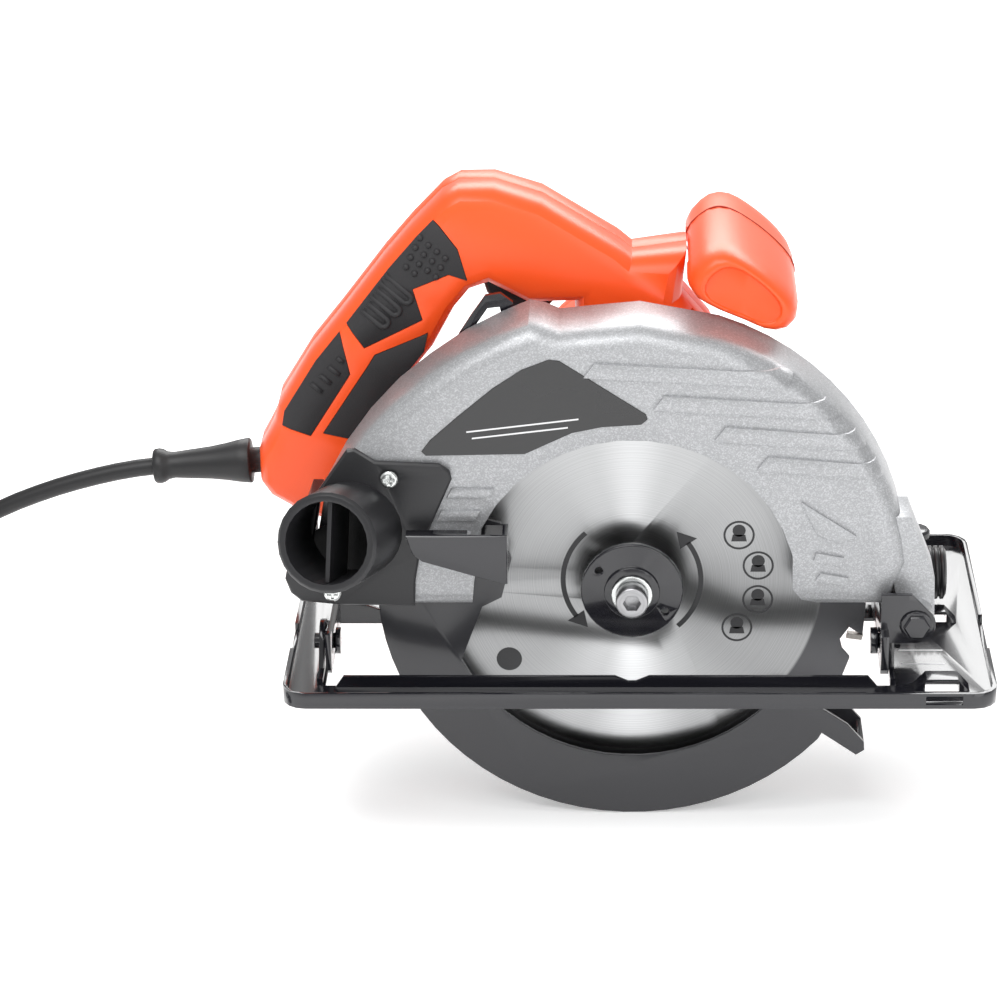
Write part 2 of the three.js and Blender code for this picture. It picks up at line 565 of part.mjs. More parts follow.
function buildGuards() {
  const back = GUARD_BACK_Y + GUARD_BACK_T;
  const outside = extrude('y', GUARD_OUTLINE, GUARD_FACE_Y, back + 12,
    { edge: GUARD_BEVEL, inset: GUARD_BEVEL * 0.8, steps: 4 });
  const cavity = [...inset(GUARD_OUTLINE, GUARD_RIM_WALL).slice(1, -1),
    [-114 + GUARD_RIM_WALL, GUARD_BOTTOM_Z - 20], [98 - GUARD_RIM_WALL, GUARD_BOTTOM_Z - 20]];
  const hollow = extrude('y', cavity, GUARD_FACE_Y + GUARD_WALL, GUARD_BACK_Y);
  const lug = rod(LUG_R, CHEEK_NEAR_Y + STEEL_T + GAP, CHEEK_FAR_Y - STEEL_T - GAP,
    { x: PIVOT_X, z: PIVOT_Z });
  const neck = extrude('y', [
    [PIVOT_X - 6, PIVOT_Z], [PIVOT_X + LUG_R, PIVOT_Z], [PIVOT_X + LUG_R - 0.4, PIVOT_Z + 16],
    [106, 30], [98, 30], [100, 4],
  ], GUARD_FACE_Y + 3, CHEEK_FAR_Y - STEEL_T - GAP - 1);
  const body = cut(
    join(cut(outside, box(-150, 150, back, back + 40, -60, 160)), lug, neck),
    hollow,
    extrude('y', OPENING, GUARD_FACE_Y - 5, GUARD_FACE_Y + GUARD_WALL + 1),
    rod(PIVOT_BOLT_R + GAP, -40, 40, { x: PIVOT_X, z: PIVOT_Z, segments: 16 }));
  const nose = rod(NOSE_R, 7.5, GUARD_BACK_Y + 0.5, { inner: BEARING_R - 3 });
  const lock = lockPoint();
  const withNose = cut(join(body, nose),
    rod(BEARING_R + GAP, GUARD_BACK_Y + 1.2, back + 1),
    rod(BEARING_R - 3, 6, back + 1),
    rod(PIVOT_BOLT_R + GAP, GUARD_BACK_Y - 1, back + 1, { ...lock, segments: 16 }));
  place(saw, 'upper_guard', join(withNose, guardRelief(outside, hollow)), castSilver);

  // The lower guard is a sheet drum that turns on the nose: a far disc, a rim and a near band.
  const covers = [
    ...arc(LOWER_GUARD_R, 168, 318, 30),
    [74, -62.5], [79, -66], [87.6, -72.1], [90.8, -70], [90.6, -66.5], [84, -59], [73.1, -51.6],
    ...arc(LOWER_GUARD_BAND_R, 322, 322, 0),
  ];
  const band = extrude('y', [
    ...covers, ...arc(LOWER_GUARD_BAND_R, 318, 205, 20), [-57.5, -8], [-50, -4], [-46, 12],
    [-50, 27], [-60, 30],
  ], LOWER_GUARD_NEAR_Y, LOWER_GUARD_NEAR_Y + LOWER_GUARD_T);
  const far = extrude('y', [...covers, ...arc(LOWER_GUARD_HUB_R, -50, 190, 16)],
    LOWER_GUARD_FAR_Y - LOWER_GUARD_T, LOWER_GUARD_FAR_Y);
  const inside = LOWER_GUARD_R - LOWER_GUARD_T;
  const rim = extrude('y', [...arc(LOWER_GUARD_R, 168, 318, 30), ...arc(inside, 318, 168, 30)],
    LOWER_GUARD_NEAR_Y + 0.5, LOWER_GUARD_FAR_Y - 0.5);
  const noseRim = extrude('y', [
    ...arc(LOWER_GUARD_R, 317, 317, 0), [74, -62.5], [79, -66], [87.6, -72.1], [90.8, -70],
    [90.6, -66.5], [88.6, -66.7], [87, -69.6], [79.5, -63.8], [74.5, -60.2],
    ...arc(inside, 317, 317, 0),
  ], LOWER_GUARD_NEAR_Y + 0.5, LOWER_GUARD_FAR_Y - 0.5);
  const hub = rod(LOWER_GUARD_HUB_R + 2.5, LOWER_GUARD_FAR_Y - LOWER_GUARD_T - 2,
    LOWER_GUARD_FAR_Y);
  const guard = cut(join(band, far, rim, noseRim, hub),
    rod(NOSE_R + RUN, LOWER_GUARD_NEAR_Y + 4, LOWER_GUARD_FAR_Y + 2));
  place(saw, 'lower_guard', guard, guardBlack);

  // The retracting lever: a plate in front of the guard with a leg through its opening.
  const plate = extrude('y', [
    [-85, 29.5], [-82.5, 22], [-79, 19], [-49, 9.8], [-47, 9.8], [-47, 29.5],
  ], LEVER_Y - LEVER_T / 2, LEVER_Y + LEVER_T / 2, { edge: 0.3, steps: 1 });
  const leg = box(-49, -47, LEVER_Y, LOWER_GUARD_NEAR_Y - GAP, 12, 27);
  const topFlange = box(-85, -62, LEVER_Y, LEVER_Y + 5, 27.5, 29.5);
  const foot = box(-56, -47, LOWER_GUARD_NEAR_Y - GAP - 1.2, LOWER_GUARD_NEAR_Y - GAP, 12, 27);
  place(saw, 'guard_lever', join(plate, leg, topFlange, foot), blackSteel);
  place(saw, 'guard_retaining_ring', rod(NOSE_R + 3, 7.6, 9, { inner: NOSE_R + GAP }),
    turnedSteel);
}

// The point where the depth lock's bolt crosses the slotted bar.
function lockPoint() {
  const a = THREE.MathUtils.degToRad(LOCK_ANGLE);
  return { x: PIVOT_X + BAR_R * Math.cos(a), z: PIVOT_Z + BAR_R * Math.sin(a) };
}

function buildDustPort() {
  const root = PORT_ROOT;
  const along = PORT_MOUTH.clone().sub(root);
  const tube = aim(rod(PORT_R, -6, along.length(), { segments: 26, edge: 1.2 }), along, root);
  const bore = aim(rod(PORT_BORE_R, 2.5, along.length() + 5, { segments: 26 }), along, root);
  const near = GUARD_FACE_Y - GAP - PORT_PLATE_T;
  const plate = extrude('y', [
    [-132, 7], [-131, 12], [-122, 38], [-107, 60], [-104, 60.5], [-96.3, 55.3], [-72.5, 54.2],
    [-68.5, 51.5], [-67.8, 48], [-76, 29], [-80.5, 17], [-82.4, 6], [-82.8, -4.5], [-111.4, -4],
    [-126, -2.5], [-130, 1],
  ], near, GUARD_FACE_Y - GAP, { edge: 0.8, steps: 1 });
  const flap = extrude('y', [[-132, 7], [-131, 12], [-122, 38], [-118, 38], [-121, 20],
    [-120, -2], [-126, -2]], near + 1, GUARD_FACE_Y + 22, { edge: 0.8, steps: 1 });
  const behind = box(-160, -60, GUARD_FACE_Y - GAP, 60, -40, 90);
  const side = cut(flap, extrude('y', GUARD_OUTLINE.map(([x, z]) => [x * 1.006, z]),
    GUARD_FACE_Y - GAP, 60));
  const screws = [[-91.2, 48.8], [-114, 1.8]];
  const holes = screws.map(([x, z]) => rod(1.9 + GAP, near - 2, 20, { x, z, segments: 12 }));
  const port = cut(join(plate, cut(tube, behind)), bore, ...holes);
  place(saw, 'dust_port', join(port, side), blackPlastic);
  for (const [name, i] of [['upper', 0], ['lower', 1]]) {
    const [x, z] = screws[i];
    const head = rod(3.5, near - GAP - 2, near - GAP, { x, z, segments: 20, edge: 0.8 });
    const cross = join(box(x - 2, x + 2, near - 3.5, near - 1.6, z - 0.5, z + 0.5),
      box(x - 0.5, x + 0.5, near - 3.5, near - 1.6, z - 2, z + 2));
    const shank = rod(1.9, near - GAP - 0.5, GUARD_FACE_Y - GAP, { x, z, segments: 12 });
    place(saw, `dust_port_screw_${name}`, cut(join(head, shank), cross), zincSteel);
  }
}

// ---------------------------------------------------------------- depth bracket and sole
function buildTiltFrame() {
  const top = PIVOT_Z + LUG_R + 5;
  const under = GUARD_BOTTOM_Z - RUN - 0.2;
  const cheekOutline = (...corners) => [
    [WEB_X, PIVOT_Z - LUG_R], [PIVOT_X, PIVOT_Z - LUG_R],
    ...arc(LUG_R, -80, 60, 6, PIVOT_X, PIVOT_Z), ...corners,
  ];
  const near = extrude('y', cheekOutline([PIVOT_X - 2, top], [WEB_X, top]),
    CHEEK_NEAR_Y, CHEEK_NEAR_Y + STEEL_T);
  const far = extrude('y', cheekOutline([WEB_X + 9, PIVOT_Z + LUG_R - 1], [WEB_X + 7, under],
    [WEB_X, under]), CHEEK_FAR_Y - STEEL_T, CHEEK_FAR_Y);
  const lockA = THREE.MathUtils.degToRad(BEVEL_LOCK_ANGLE);
  const lockY = BEVEL_Y + BEVEL_LOCK_R * Math.cos(lockA);
  const lockZ = BEVEL_Z + BEVEL_LOCK_R * Math.sin(lockA);
  const web = extrude('x', [
    [CHEEK_NEAR_Y, -13], [TAB_NEAR_Y, -13], [TAB_NEAR_Y, -27], [TAB_NEAR_Y + 2, BEVEL_Z - 6],
    [BEVEL_Y + 8, BEVEL_Z - 6],
    [lockY + 6, lockZ - 6], [lockY + 6, lockZ + 6], [CHEEK_FAR_Y, under], [CHEEK_NEAR_Y, under],
  ], WEB_X, WEB_X + 3);
  const bracket = cut(join(near, far, web),
    rod(PIVOT_BOLT_R + GAP, -40, 40, { x: PIVOT_X, z: PIVOT_Z, segments: 16 }),
    pinAlongX(BEVEL_PIN_R + GAP, WEB_X - 2, WEB_X + 5, BEVEL_Y, BEVEL_Z),
    pinAlongX(PIVOT_BOLT_R + GAP, WEB_X - 2, WEB_X + 5, lockY, lockZ));
  place(saw, 'front_bracket', bracket, blackSteel);

  const head = extrude('y', circle(5.2, 6, PIVOT_X, PIVOT_Z), CHEEK_NEAR_Y - GAP - 2.8,
    CHEEK_NEAR_Y - GAP, { edge: 0.6, steps: 1 });
  const washer = rod(6.2, CHEEK_NEAR_Y - GAP - 1.2, CHEEK_NEAR_Y - GAP,
    { x: PIVOT_X, z: PIVOT_Z, segments: 20 });
  const shank = rod(PIVOT_BOLT_R, CHEEK_NEAR_Y - GAP - 1, CHEEK_FAR_Y + 6,
    { x: PIVOT_X, z: PIVOT_Z, segments: 16 });
  place(saw, 'depth_pivot_bolt', join(head, washer, shank), turnedSteel);
  place(saw, 'depth_pivot_nut', cut(
    extrude('y', circle(6, 6, PIVOT_X, PIVOT_Z), CHEEK_FAR_Y + GAP, CHEEK_FAR_Y + GAP + 5),
    rod(PIVOT_BOLT_R + GAP, CHEEK_FAR_Y, CHEEK_FAR_Y + 8, { x: PIVOT_X, z: PIVOT_Z,
      segments: 16 })), turnedSteel);

  // The slotted bar curves about the depth pivot, and its foot carries the rear bevel pin.
  const inner = BAR_R - BAR_W / 2;
  const outer = BAR_R + BAR_W / 2;
  const barTop = SLOT_TOP_ANGLE - 2.2;
  const band = [
    ...arc(outer, barTop + 1.2, 184, 16, PIVOT_X, PIVOT_Z),
    [FOOT_X, BEVEL_Z + 7], [FOOT_X, BEVEL_Z - 5.5], [-96, BEVEL_Z - 5.5],
    ...arc(inner, 184.5, barTop + 1.2, 16, PIVOT_X, PIVOT_Z),
    ...arc(inner + 4, barTop, barTop, 0, PIVOT_X, PIVOT_Z),
    ...arc(outer - 4, barTop, barTop, 0, PIVOT_X, PIVOT_Z),
  ];
  const slot = [
    ...arc(BAR_R + BAR_SLOT_W / 2, SLOT_TOP_ANGLE, SLOT_BOTTOM_ANGLE, 16, PIVOT_X, PIVOT_Z),
    ...arc(BAR_R, SLOT_BOTTOM_ANGLE + 0.9, SLOT_BOTTOM_ANGLE + 0.9, 0, PIVOT_X, PIVOT_Z),
    ...arc(BAR_R - BAR_SLOT_W / 2, SLOT_BOTTOM_ANGLE, SLOT_TOP_ANGLE, 16, PIVOT_X, PIVOT_Z),
    ...arc(BAR_R, SLOT_TOP_ANGLE - 0.9, SLOT_TOP_ANGLE - 0.9, 0, PIVOT_X, PIVOT_Z),
  ];
  const bar = extrude('y', band, BAR_NEAR_Y, BAR_NEAR_Y + STEEL_T, { holes: [slot.reverse()] });
  const foot = extrude('x', [
    [TAB_NEAR_Y + 2, BEVEL_Z - 5.5], [BAR_NEAR_Y + 0.5, BEVEL_Z - 5.5], [BAR_NEAR_Y + 0.5, -16.5],
    [-19, -16.5], [-21, -12], [TAB_NEAR_Y, -12], [TAB_NEAR_Y, BEVEL_Z - 3.5],
  ], FOOT_X, FOOT_X + STEEL_T);
  const rearPlate = cut(join(bar, foot),
    pinAlongX(BEVEL_PIN_R + GAP, FOOT_X - 1, FOOT_X + 4, BEVEL_Y, BEVEL_Z));
  place(saw, 'depth_bar', rearPlate, blackSteel);

  for (const [name, x0, x1] of [['front', WEB_X - 1.8, 103.6], ['rear', -122.6, -113.4]]) {
    const pin = join(
      pinAlongX(BEVEL_PIN_R, x0, x1, BEVEL_Y, BEVEL_Z),
      name === 'front'
        ? pinAlongX(5.2, x0 - 1.2, WEB_X - GAP, BEVEL_Y, BEVEL_Z)
        : pinAlongX(5.2, FOOT_X + STEEL_T + GAP, x1 + 1, BEVEL_Y, BEVEL_Z));
    place(saw, `bevel_pin_${name}`, pin, turnedSteel);
  }

  // Bevel lock: a bolt along X with a ribbed hand knob on its front end.
  const knob = join(
    pinAlongX(PIVOT_BOLT_R, WEB_X - 1.5, 112, lockY, lockZ, 16),
    pinAlongX(8, 103, 113.2, lockY, lockZ, 24),
    pinAlongX(10.8, 113, 125, lockY, lockZ, 24));
  place(saw, 'bevel_lock_knob', knob, blackPlastic);
}

// A pin about an axis parallel to X.
function pinAlongX(radius, from, to, y, z, count = 20) {
  return extrude('x', circle(radius, count, y, z), from, to);
}

function buildSole() {
  const corner = (x, y, from) => arc(SOLE_CORNER_R, from, from + 90, 4, x, y);
  const border = (grow) => {
    const r = SOLE_CORNER_R;
    return inset([
      ...corner(SOLE_FRONT_X - r, SOLE_FAR_Y - r, 0), ...corner(SOLE_BACK_X + r, SOLE_FAR_Y - r, 90),
      ...corner(SOLE_BACK_X + r, SOLE_NEAR_Y + r, 180),
      ...corner(SOLE_FRONT_X - r, SOLE_NEAR_Y + r, 270),
    ], grow);
  };
  const top = SOLE_Z + SOLE_T;
  const slot = [[SLOT_BACK_X, SLOT_NEAR_Y], [SLOT_FRONT_X, SLOT_NEAR_Y],
    [SLOT_FRONT_X, SLOT_FAR_Y], [SLOT_BACK_X, SLOT_FAR_Y]];
  const plate = extrude('z', border(0), SOLE_Z, top + 0.01);
  const rim = extrude('z', border(0), SOLE_Z + 0.2, SOLE_Z + SOLE_RIM_H,
    { holes: [border(SOLE_T).reverse()] });
  const lip = extrude('y', [
    [SLOT_BACK_X + 3.5, top - 0.5], [SLOT_FRONT_X - 4.6, top - 0.5], [90, top + LIP_H],
    [6.5, top + LIP_H], [1.5, top + 2.2], [-1.5, top + 2.2], [-6.5, top + LIP_H],
    [SLOT_BACK_X + 7, top + LIP_H],
  ], SLOT_NEAR_Y - SOLE_T, SLOT_NEAR_Y + 0.2);
  // Tabs bent up at both ends of the slot carry the bevel pins; the front one is the quadrant.
  const a = BEVEL_LOCK_ANGLE;
  const around = (r, from, to, n) => arc(r, from, to, n, BEVEL_Y, BEVEL_Z);
  const end = a + BEVEL_TRAVEL;
  const play = PIVOT_BOLT_R + RUN;
  const wall = 6;
  const margin = THREE.MathUtils.radToDeg((play + 2.5) / BEVEL_LOCK_R);
  const quadrant = [
    [SLOT_NEAR_Y, top - 0.5], [BEVEL_Y + BEVEL_LOCK_R + wall, top - 0.5],
    ...around(BEVEL_LOCK_R + wall, a - margin, end + margin, 8),
    ...around(BEVEL_LOCK_R - wall, end + margin, a - margin, 8),
    [BEVEL_Y + BEVEL_LOCK_R - 2 * wall, -29], [8, -29], ...around(9.6, 0, 180, 8),
    [-17, -29.5], [SLOT_NEAR_Y, -29.5],
  ];
  const [[startY, startZ], [endY, endZ]] = around(BEVEL_LOCK_R, a, end, 1);
  const lockSlot = [
    ...around(BEVEL_LOCK_R + play, a, end, 8), ...arc(play, end + 45, end + 135, 2, endY, endZ),
    ...around(BEVEL_LOCK_R - play, end, a, 8), ...arc(play, a + 225, a + 315, 2, startY, startZ),
  ];
  const frontTab = extrude('x', quadrant, WEB_X + 3 + RUN, WEB_X + 3 + RUN + STEEL_T,
    { holes: [lockSlot.reverse()] });
  const rearTab = extrude('x', [
    [SLOT_NEAR_Y, top - 0.5], [20, top - 0.5], [8, BEVEL_Z + 2], ...around(8.5, 20, 160, 6),
    [-18, -29.5], [SLOT_NEAR_Y, -29.5],
  ], SLOT_BACK_X - 1 - STEEL_T, SLOT_BACK_X - 1);
  // Two bridges over the bar of a rip fence, which passes the notch in the near rim.
  const bridge = (y0, y1) => cut(
    extrude('y', [[107, top - 0.5], [112, top + 5], [124, top + 5], [129, top - 0.5]], y0, y1),
    box(111.5, 124.5, y0 - 1, y1 + 1, top - 1, top + 3.6));
  const gap = (y0, y1) => box(111.5, 124.5, y0, y1, SOLE_Z - 1, top + 1);
  const sole = cut(
    join(cut(plate, extrude('z', slot, SOLE_Z - 1, top + 1)), rim, lip, frontTab, rearTab),
    gap(-32, -23), gap(29, 42),
    box(111, 125, SOLE_NEAR_Y - 1, SOLE_NEAR_Y + 3, top, top + 3.6),
    box(SOLE_FRONT_X - 3, SOLE_FRONT_X + 1, -4, 26, top + 1.2, top + 9),
    box(SOLE_BACK_X - 1, SOLE_BACK_X + 3, -4, 18, top + 1.2, top + 9),
    pinAlongX(BEVEL_PIN_R + RUN, SLOT_BACK_X - 5, SLOT_BACK_X, BEVEL_Y, BEVEL_Z),
    pinAlongX(BEVEL_PIN_R + RUN, WEB_X + 3, WEB_X + 8, BEVEL_Y, BEVEL_Z));
  place(saw, 'sole_plate', join(sole, bridge(-32, -24.5), bridge(28, 34.5)), blackSteel);
  const screwX = 116;
  const screwY = 88;
  const screw = extrude('z', circle(6.5, 12, screwX, screwY), top + GAP + 4, top + GAP + 14,
    { edge: 1, steps: 1 });
  const stem = extrude('z', circle(3, 12, screwX, screwY), top + GAP, top + GAP + 5);
  place(saw, 'rip_fence_screw', join(screw, stem), blackSteel);
}

// ---------------------------------------------------------------- handle, switch and grips
const HANDLE_OUTLINE = [
  [19, 101], [21, 119.5], [0, 116.5], [-5, 120.8], [-34.2, 139], [-52.6, 144.8], [-66, 144.6],
  [-72.5, 141], [-84, 129], [-95.3, 115.7], [-112.6, 92.9], [-124.6, 77.7], [-137.8, 56.3],
  [-139.4, 49.2], [-143, 42], [-146, 36.6], [-146, 24], [-142, 18], [-131.8, 11.7], [-112, 4],
  [-70, 2], [-48, 8], [-38, 5],
];
const HANDLE_LOOP = [
  [-22, 99], [-40, 98.5], [-55, 106.5], [-62, 104], [-68.5, 96], [-77, 80], [-88, 66],
  [-99, 52], [-98, 44], [-88, 39], [-66, 36], [-50, 42], [-44, 58], [-22, 72],
];

function buildHandle() {
  // The two shells meet in the handle's middle plane and end on the motor housing.
  const near = HANDLE_Y - HANDLE_W / 2;
  const far = HANDLE_Y + HANDLE_W / 2;
  const whole = [...HANDLE_OUTLINE, [0, 20], [38, 30], [42, 62], [30, 88]].reverse();
  const block = extrude('y', whole, near, far,
    { holes: [HANDLE_LOOP], edge: HANDLE_EDGE, inset: HANDLE_EDGE * 0.8, steps: 3 });
  const motor = rod(MOTOR_R + GAP, near - 5, far + 5, { z: MOTOR_Z, segments: 32 });
  const gears = rod(27 + GAP, near - 5, far + 5);
  const hollow = extrude('y', [...TRIGGER_SPACE].reverse(), HANDLE_Y - 11,
    HANDLE_Y + 11);
  const reliefHole = aim(rod(5.2 + GAP, -20, 12), RELIEF_TIP.clone().sub(RELIEF_ROOT),
    RELIEF_ROOT);
  const buttonHole = rod(5 + GAP, HANDLE_Y + 8, far + 6, { x: LOCK_OFF_X, z: LOCK_OFF_Z });
  const clampSpace = box(-142, -122, HANDLE_Y - 8, HANDLE_Y + 8, 20, 36);
  const shell = cut(block, motor, gears, hollow, reliefHole, buttonHole, clampSpace);
  const pocket = extrude('y', [[4, 78], [30, 74], [30, 95], [8, 97]], near - 1, near + 8);
  const half = (y0, y1) => cut(shell, box(-200, 100, y0 - 60, y0, -50, 200),
    box(-200, 100, y1, y1 + 60, -50, 200));
  place(saw, 'handle_shell_near', cut(half(near - 1, HANDLE_Y - GAP / 2), pocket,
    ...padBodies(1, GAP)), orangePlastic);
  place(saw, 'handle_shell_far', cut(half(HANDLE_Y + GAP / 2, far + 1), ...padBodies(-1, GAP)),
    orangePlastic);
  for (const [side, facing] of [['near', 1], ['far', -1]]) {
    padBodies(facing, 0).forEach((pad, i) => {
      place(saw, `grip_pad_${['upper', 'lower', 'inner'][i]}_${side}`,
        pad.intersect(extrude('y', inset(whole, 0.4), near, far, {
          edge: HANDLE_EDGE, inset: HANDLE_EDGE * 0.8, steps: 3 })), softGrip);
    });
  }
}

// Soft pads set into the handle's face, facing the blade (1) or the other way (-1).
function padBodies(facing, grow) {
  const face = HANDLE_Y - (facing * HANDLE_W) / 2;
  const outlines = [
    [[-76, 134], [-90, 119], [-110.5, 93], [-103, 82], [-80.5, 93.5], [-84, 106], [-70, 112],
      [-63, 109.5], [-66.5, 122], [-73, 131]],
    [[-112.5, 88.5], [-122.8, 75.5], [-134.8, 56.5], [-136, 49.5], [-125, 45.5], [-109, 71]],
    [[-99, 79], [-102, 74], [-120, 46.5], [-107, 43.5], [-101, 53.5], [-90, 67.5], [-80, 80.5],
      [-78.5, 88]],
  ];
  return outlines.map((points) => extrude('y', inset(points, -grow),
    Math.min(face - facing, face + facing * (PAD_T + grow)),
    Math.max(face - facing, face + facing * (PAD_T + grow))));
}

const TRIGGER_SPACE = [
  [-25, 112], [-25, 95], [-52, 95], [-60, 108], [-60, 126], [-36, 126], [-36, 112],
];
const LOCK_OFF_X = -42;
const LOCK_OFF_Z = 120;

function buildSwitch() {
  const trigger = extrude('y', [
    [-28, 108], [-28, 100], [-33, 94.5], [-42, 92], [-50, 94], [-56, 101], [-58, 108],
  ].reverse(), HANDLE_Y - 8.5, HANDLE_Y + 8.5, { edge: 1.5, steps: 1 });
  place(saw, 'trigger', trigger, blackPlastic);
  place(saw, 'switch_module', box(-59, -37.5, HANDLE_Y - 9, HANDLE_Y + 9, 111.5, 125), blackPlastic);
  const button = rod(5, HANDLE_Y + 11.4, HANDLE_Y + HANDLE_W / 2 + 3.5,
    { x: LOCK_OFF_X, z: LOCK_OFF_Z, edge: 1 });
  place(saw, 'lock_off_button', button, blackPlastic);
}

function buildFrontGrip() {
  // A cross bar of rounded-triangle section on the front end of the handle's arm.
  const section = smooth([
    [27, 107], [21.5, 111.5], [20.8, 117], [24, 123], [31, 128], [38, 127.6], [48, 121.5],
    [57, 113.5], [62, 107], [63.3, 101.5], [60.5, 97], [54, 95.4], [42, 100.2],
  ], 26, true);
  const middle = [42, 111];
  const shrink = (scale) => section.map(([x, z]) => [
    middle[0] + (x - middle[0]) * scale, middle[1] + (z - middle[1]) * scale,
  ]);
  const steps = [[0, 0.78], [1, 0.85], [3.5, 0.925], [8, 0.975], [14, 1]];
  const rings = [
    ...steps.map(([d, scale]) => ({ points: shrink(scale), y: FRONT_GRIP_NEAR_Y + d })),
    ...[...steps].reverse().map(([d, scale]) => ({ points: shrink(scale), y: FRONT_GRIP_FAR_Y - d })),
  ];
  const panel = [FRONT_GRIP_NEAR_Y - 1, FRONT_GRIP_NEAR_Y + 1.2].map((y) => ({
    points: shrink(0.68), y }));
  const bar = loft(rings);
  const end = loft(panel);
  const near = HANDLE_Y - HANDLE_W / 2;
  const socket = box(10, 22.5, near - 1, near + HANDLE_W + 1, 85, 125);
  place(saw, 'front_handle', cut(bar, end, socket.translate([-0.9, 0, 0])), orangePlastic);
}

function buildLocks() {
  const lock = lockPoint();
  const start = BAR_NEAR_Y + STEEL_T + GAP;
  const studEnd = start + 9;
  place(saw, 'depth_lock_bolt', rod(PIVOT_BOLT_R, GUARD_BACK_Y + 0.3, studEnd,
    { ...lock, segments: 16 }), turnedSteel);
  const arm = extrude('y', [
    [lock.x - 2, lock.z - 5], [lock.x + 2, lock.z + 6], [lock.x - 28, lock.z + 20],
    [lock.x - 33, lock.z + 17], [lock.x - 31, lock.z + 12],
  ].reverse(), start + 2, start + 7, { edge: 1, steps: 1 });
  const hub = rod(8, start, start + 8, { ...lock, edge: 1 });
  const bore = rod(PIVOT_BOLT_R + GAP, start - 1, studEnd + 1, { ...lock, segments: 16 });
  place(saw, 'depth_lock_lever', cut(join(hub, arm), bore), blackPlastic);
  // The spindle lock's pin slides into one of the notches round the spindle's collar.
  const pin = pinAlongX(LOCK_PIN_R, LOCK_COLLAR_R + RUN, LOCK_BUTTON_X + 1, LOCK_COLLAR_Y, 0, 12);
  const head = pinAlongX(5, LOCK_BUTTON_X + LOCK_NOTCH - RUN, LOCK_BUTTON_X + 7, LOCK_COLLAR_Y, 0);
  const neck = pinAlongX(LOCK_PIN_R, LOCK_BUTTON_X, LOCK_BUTTON_X + 6, LOCK_COLLAR_Y, 0, 12);
  place(saw, 'spindle_lock_button', join(pin, head, neck), blackPlastic);
}

// ---------------------------------------------------------------- mains lead
const UNSEEN_DROP = [
  [-189, 25], [-196, 24.1], [-204, 22.6], [-212, 20.7], [-220, 18.5], [-228, 16], [-236, 13.1],
  [-244, 9.9], [-252, 6.2], [-260, 1.6], [-268, -4.4], [-275, -12], [-281, -21.5],
  [-286, -32.5], [-290.5, -44], [-295.5, -55.5], [-302, -66.5], [-310.5, -76], [-320, -82.6],
  [-330, -86.2], [-340, -87],
];

function buildLead() {
  const along = RELIEF_TIP.clone().sub(RELIEF_ROOT);
  const long = along.length();
  const boot = turned([
    [0, -10], [7, -10], [7, -3], [5.1, -3], [5.1, 6], [9.2, 6.5], [8.6, 11], [6.6, 20],
    [5.6, 30], [5.3, long - 5], [6.8, long - 4.4], [6.8, long - 0.4], [6.2, long], [0, long],
  ], 0, 0, 24);
  place(lead, 'strain_relief', aim(boot, along, RELIEF_ROOT), cordRubber);
  const clamp = cut(box(-140, -132, HANDLE_Y - 7, HANDLE_Y + 7, 21.5, 34.5),
    aim(rod(7 + GAP, -12, 20), along, RELIEF_ROOT));
  const points = UNSEEN_DROP.map(([x, z], i) =>
    new THREE.Vector3(x - (i === 0 ? GAP : 0), HANDLE_Y, z));
  const route = new THREE.CatmullRomCurve3(points, false, 'centripetal');
  const section = outline(circle(CORD_R, 10));
  const tube = new THREE.ExtrudeGeometry(section,
    { steps: 22, bevelEnabled: false, extrudePath: route });
  const outer = COIL_RADII[0] + CORD_R;
  const inner = COIL_RADII[COIL_RADII.length - 1] - CORD_R;
  const height = COIL_LAYERS * 2 * CORD_R;
  const ring = (grow) => turned([
    [inner - grow, FLOOR_Z - grow], [outer + grow, FLOOR_Z - grow],
    [outer + grow, FLOOR_Z + height + grow], [inner - grow, FLOOR_Z + height + grow],
    [inner - grow, FLOOR_Z - grow],
  ], 0, 0, 32).rotate([90, 0, 0]);
  const upright = (body) => {
    const geometry = geometryOf(body);
    geometry.computeBoundingBox();
    const { min, max } = geometry.boundingBox;
    const middle = (FLOOR_Z + FLOOR_Z + height) / 2;
    geometry.translate(COIL_X, COIL_Y, middle - (min.z + max.z) / 2);
    return solid(geometry);
  };
  const coil = upright(ring(0));
  const coilSpace = upright(ring(GAP));
  place(lead, 'cord_tube', cut(solid(tube), coilSpace), cordRubber);
  place(lead, 'cord_coil', coil, cordRubber);
  place(lead, 'mains_plug', buildPlug(coilSpace), cordRubber);
  return clamp;
}

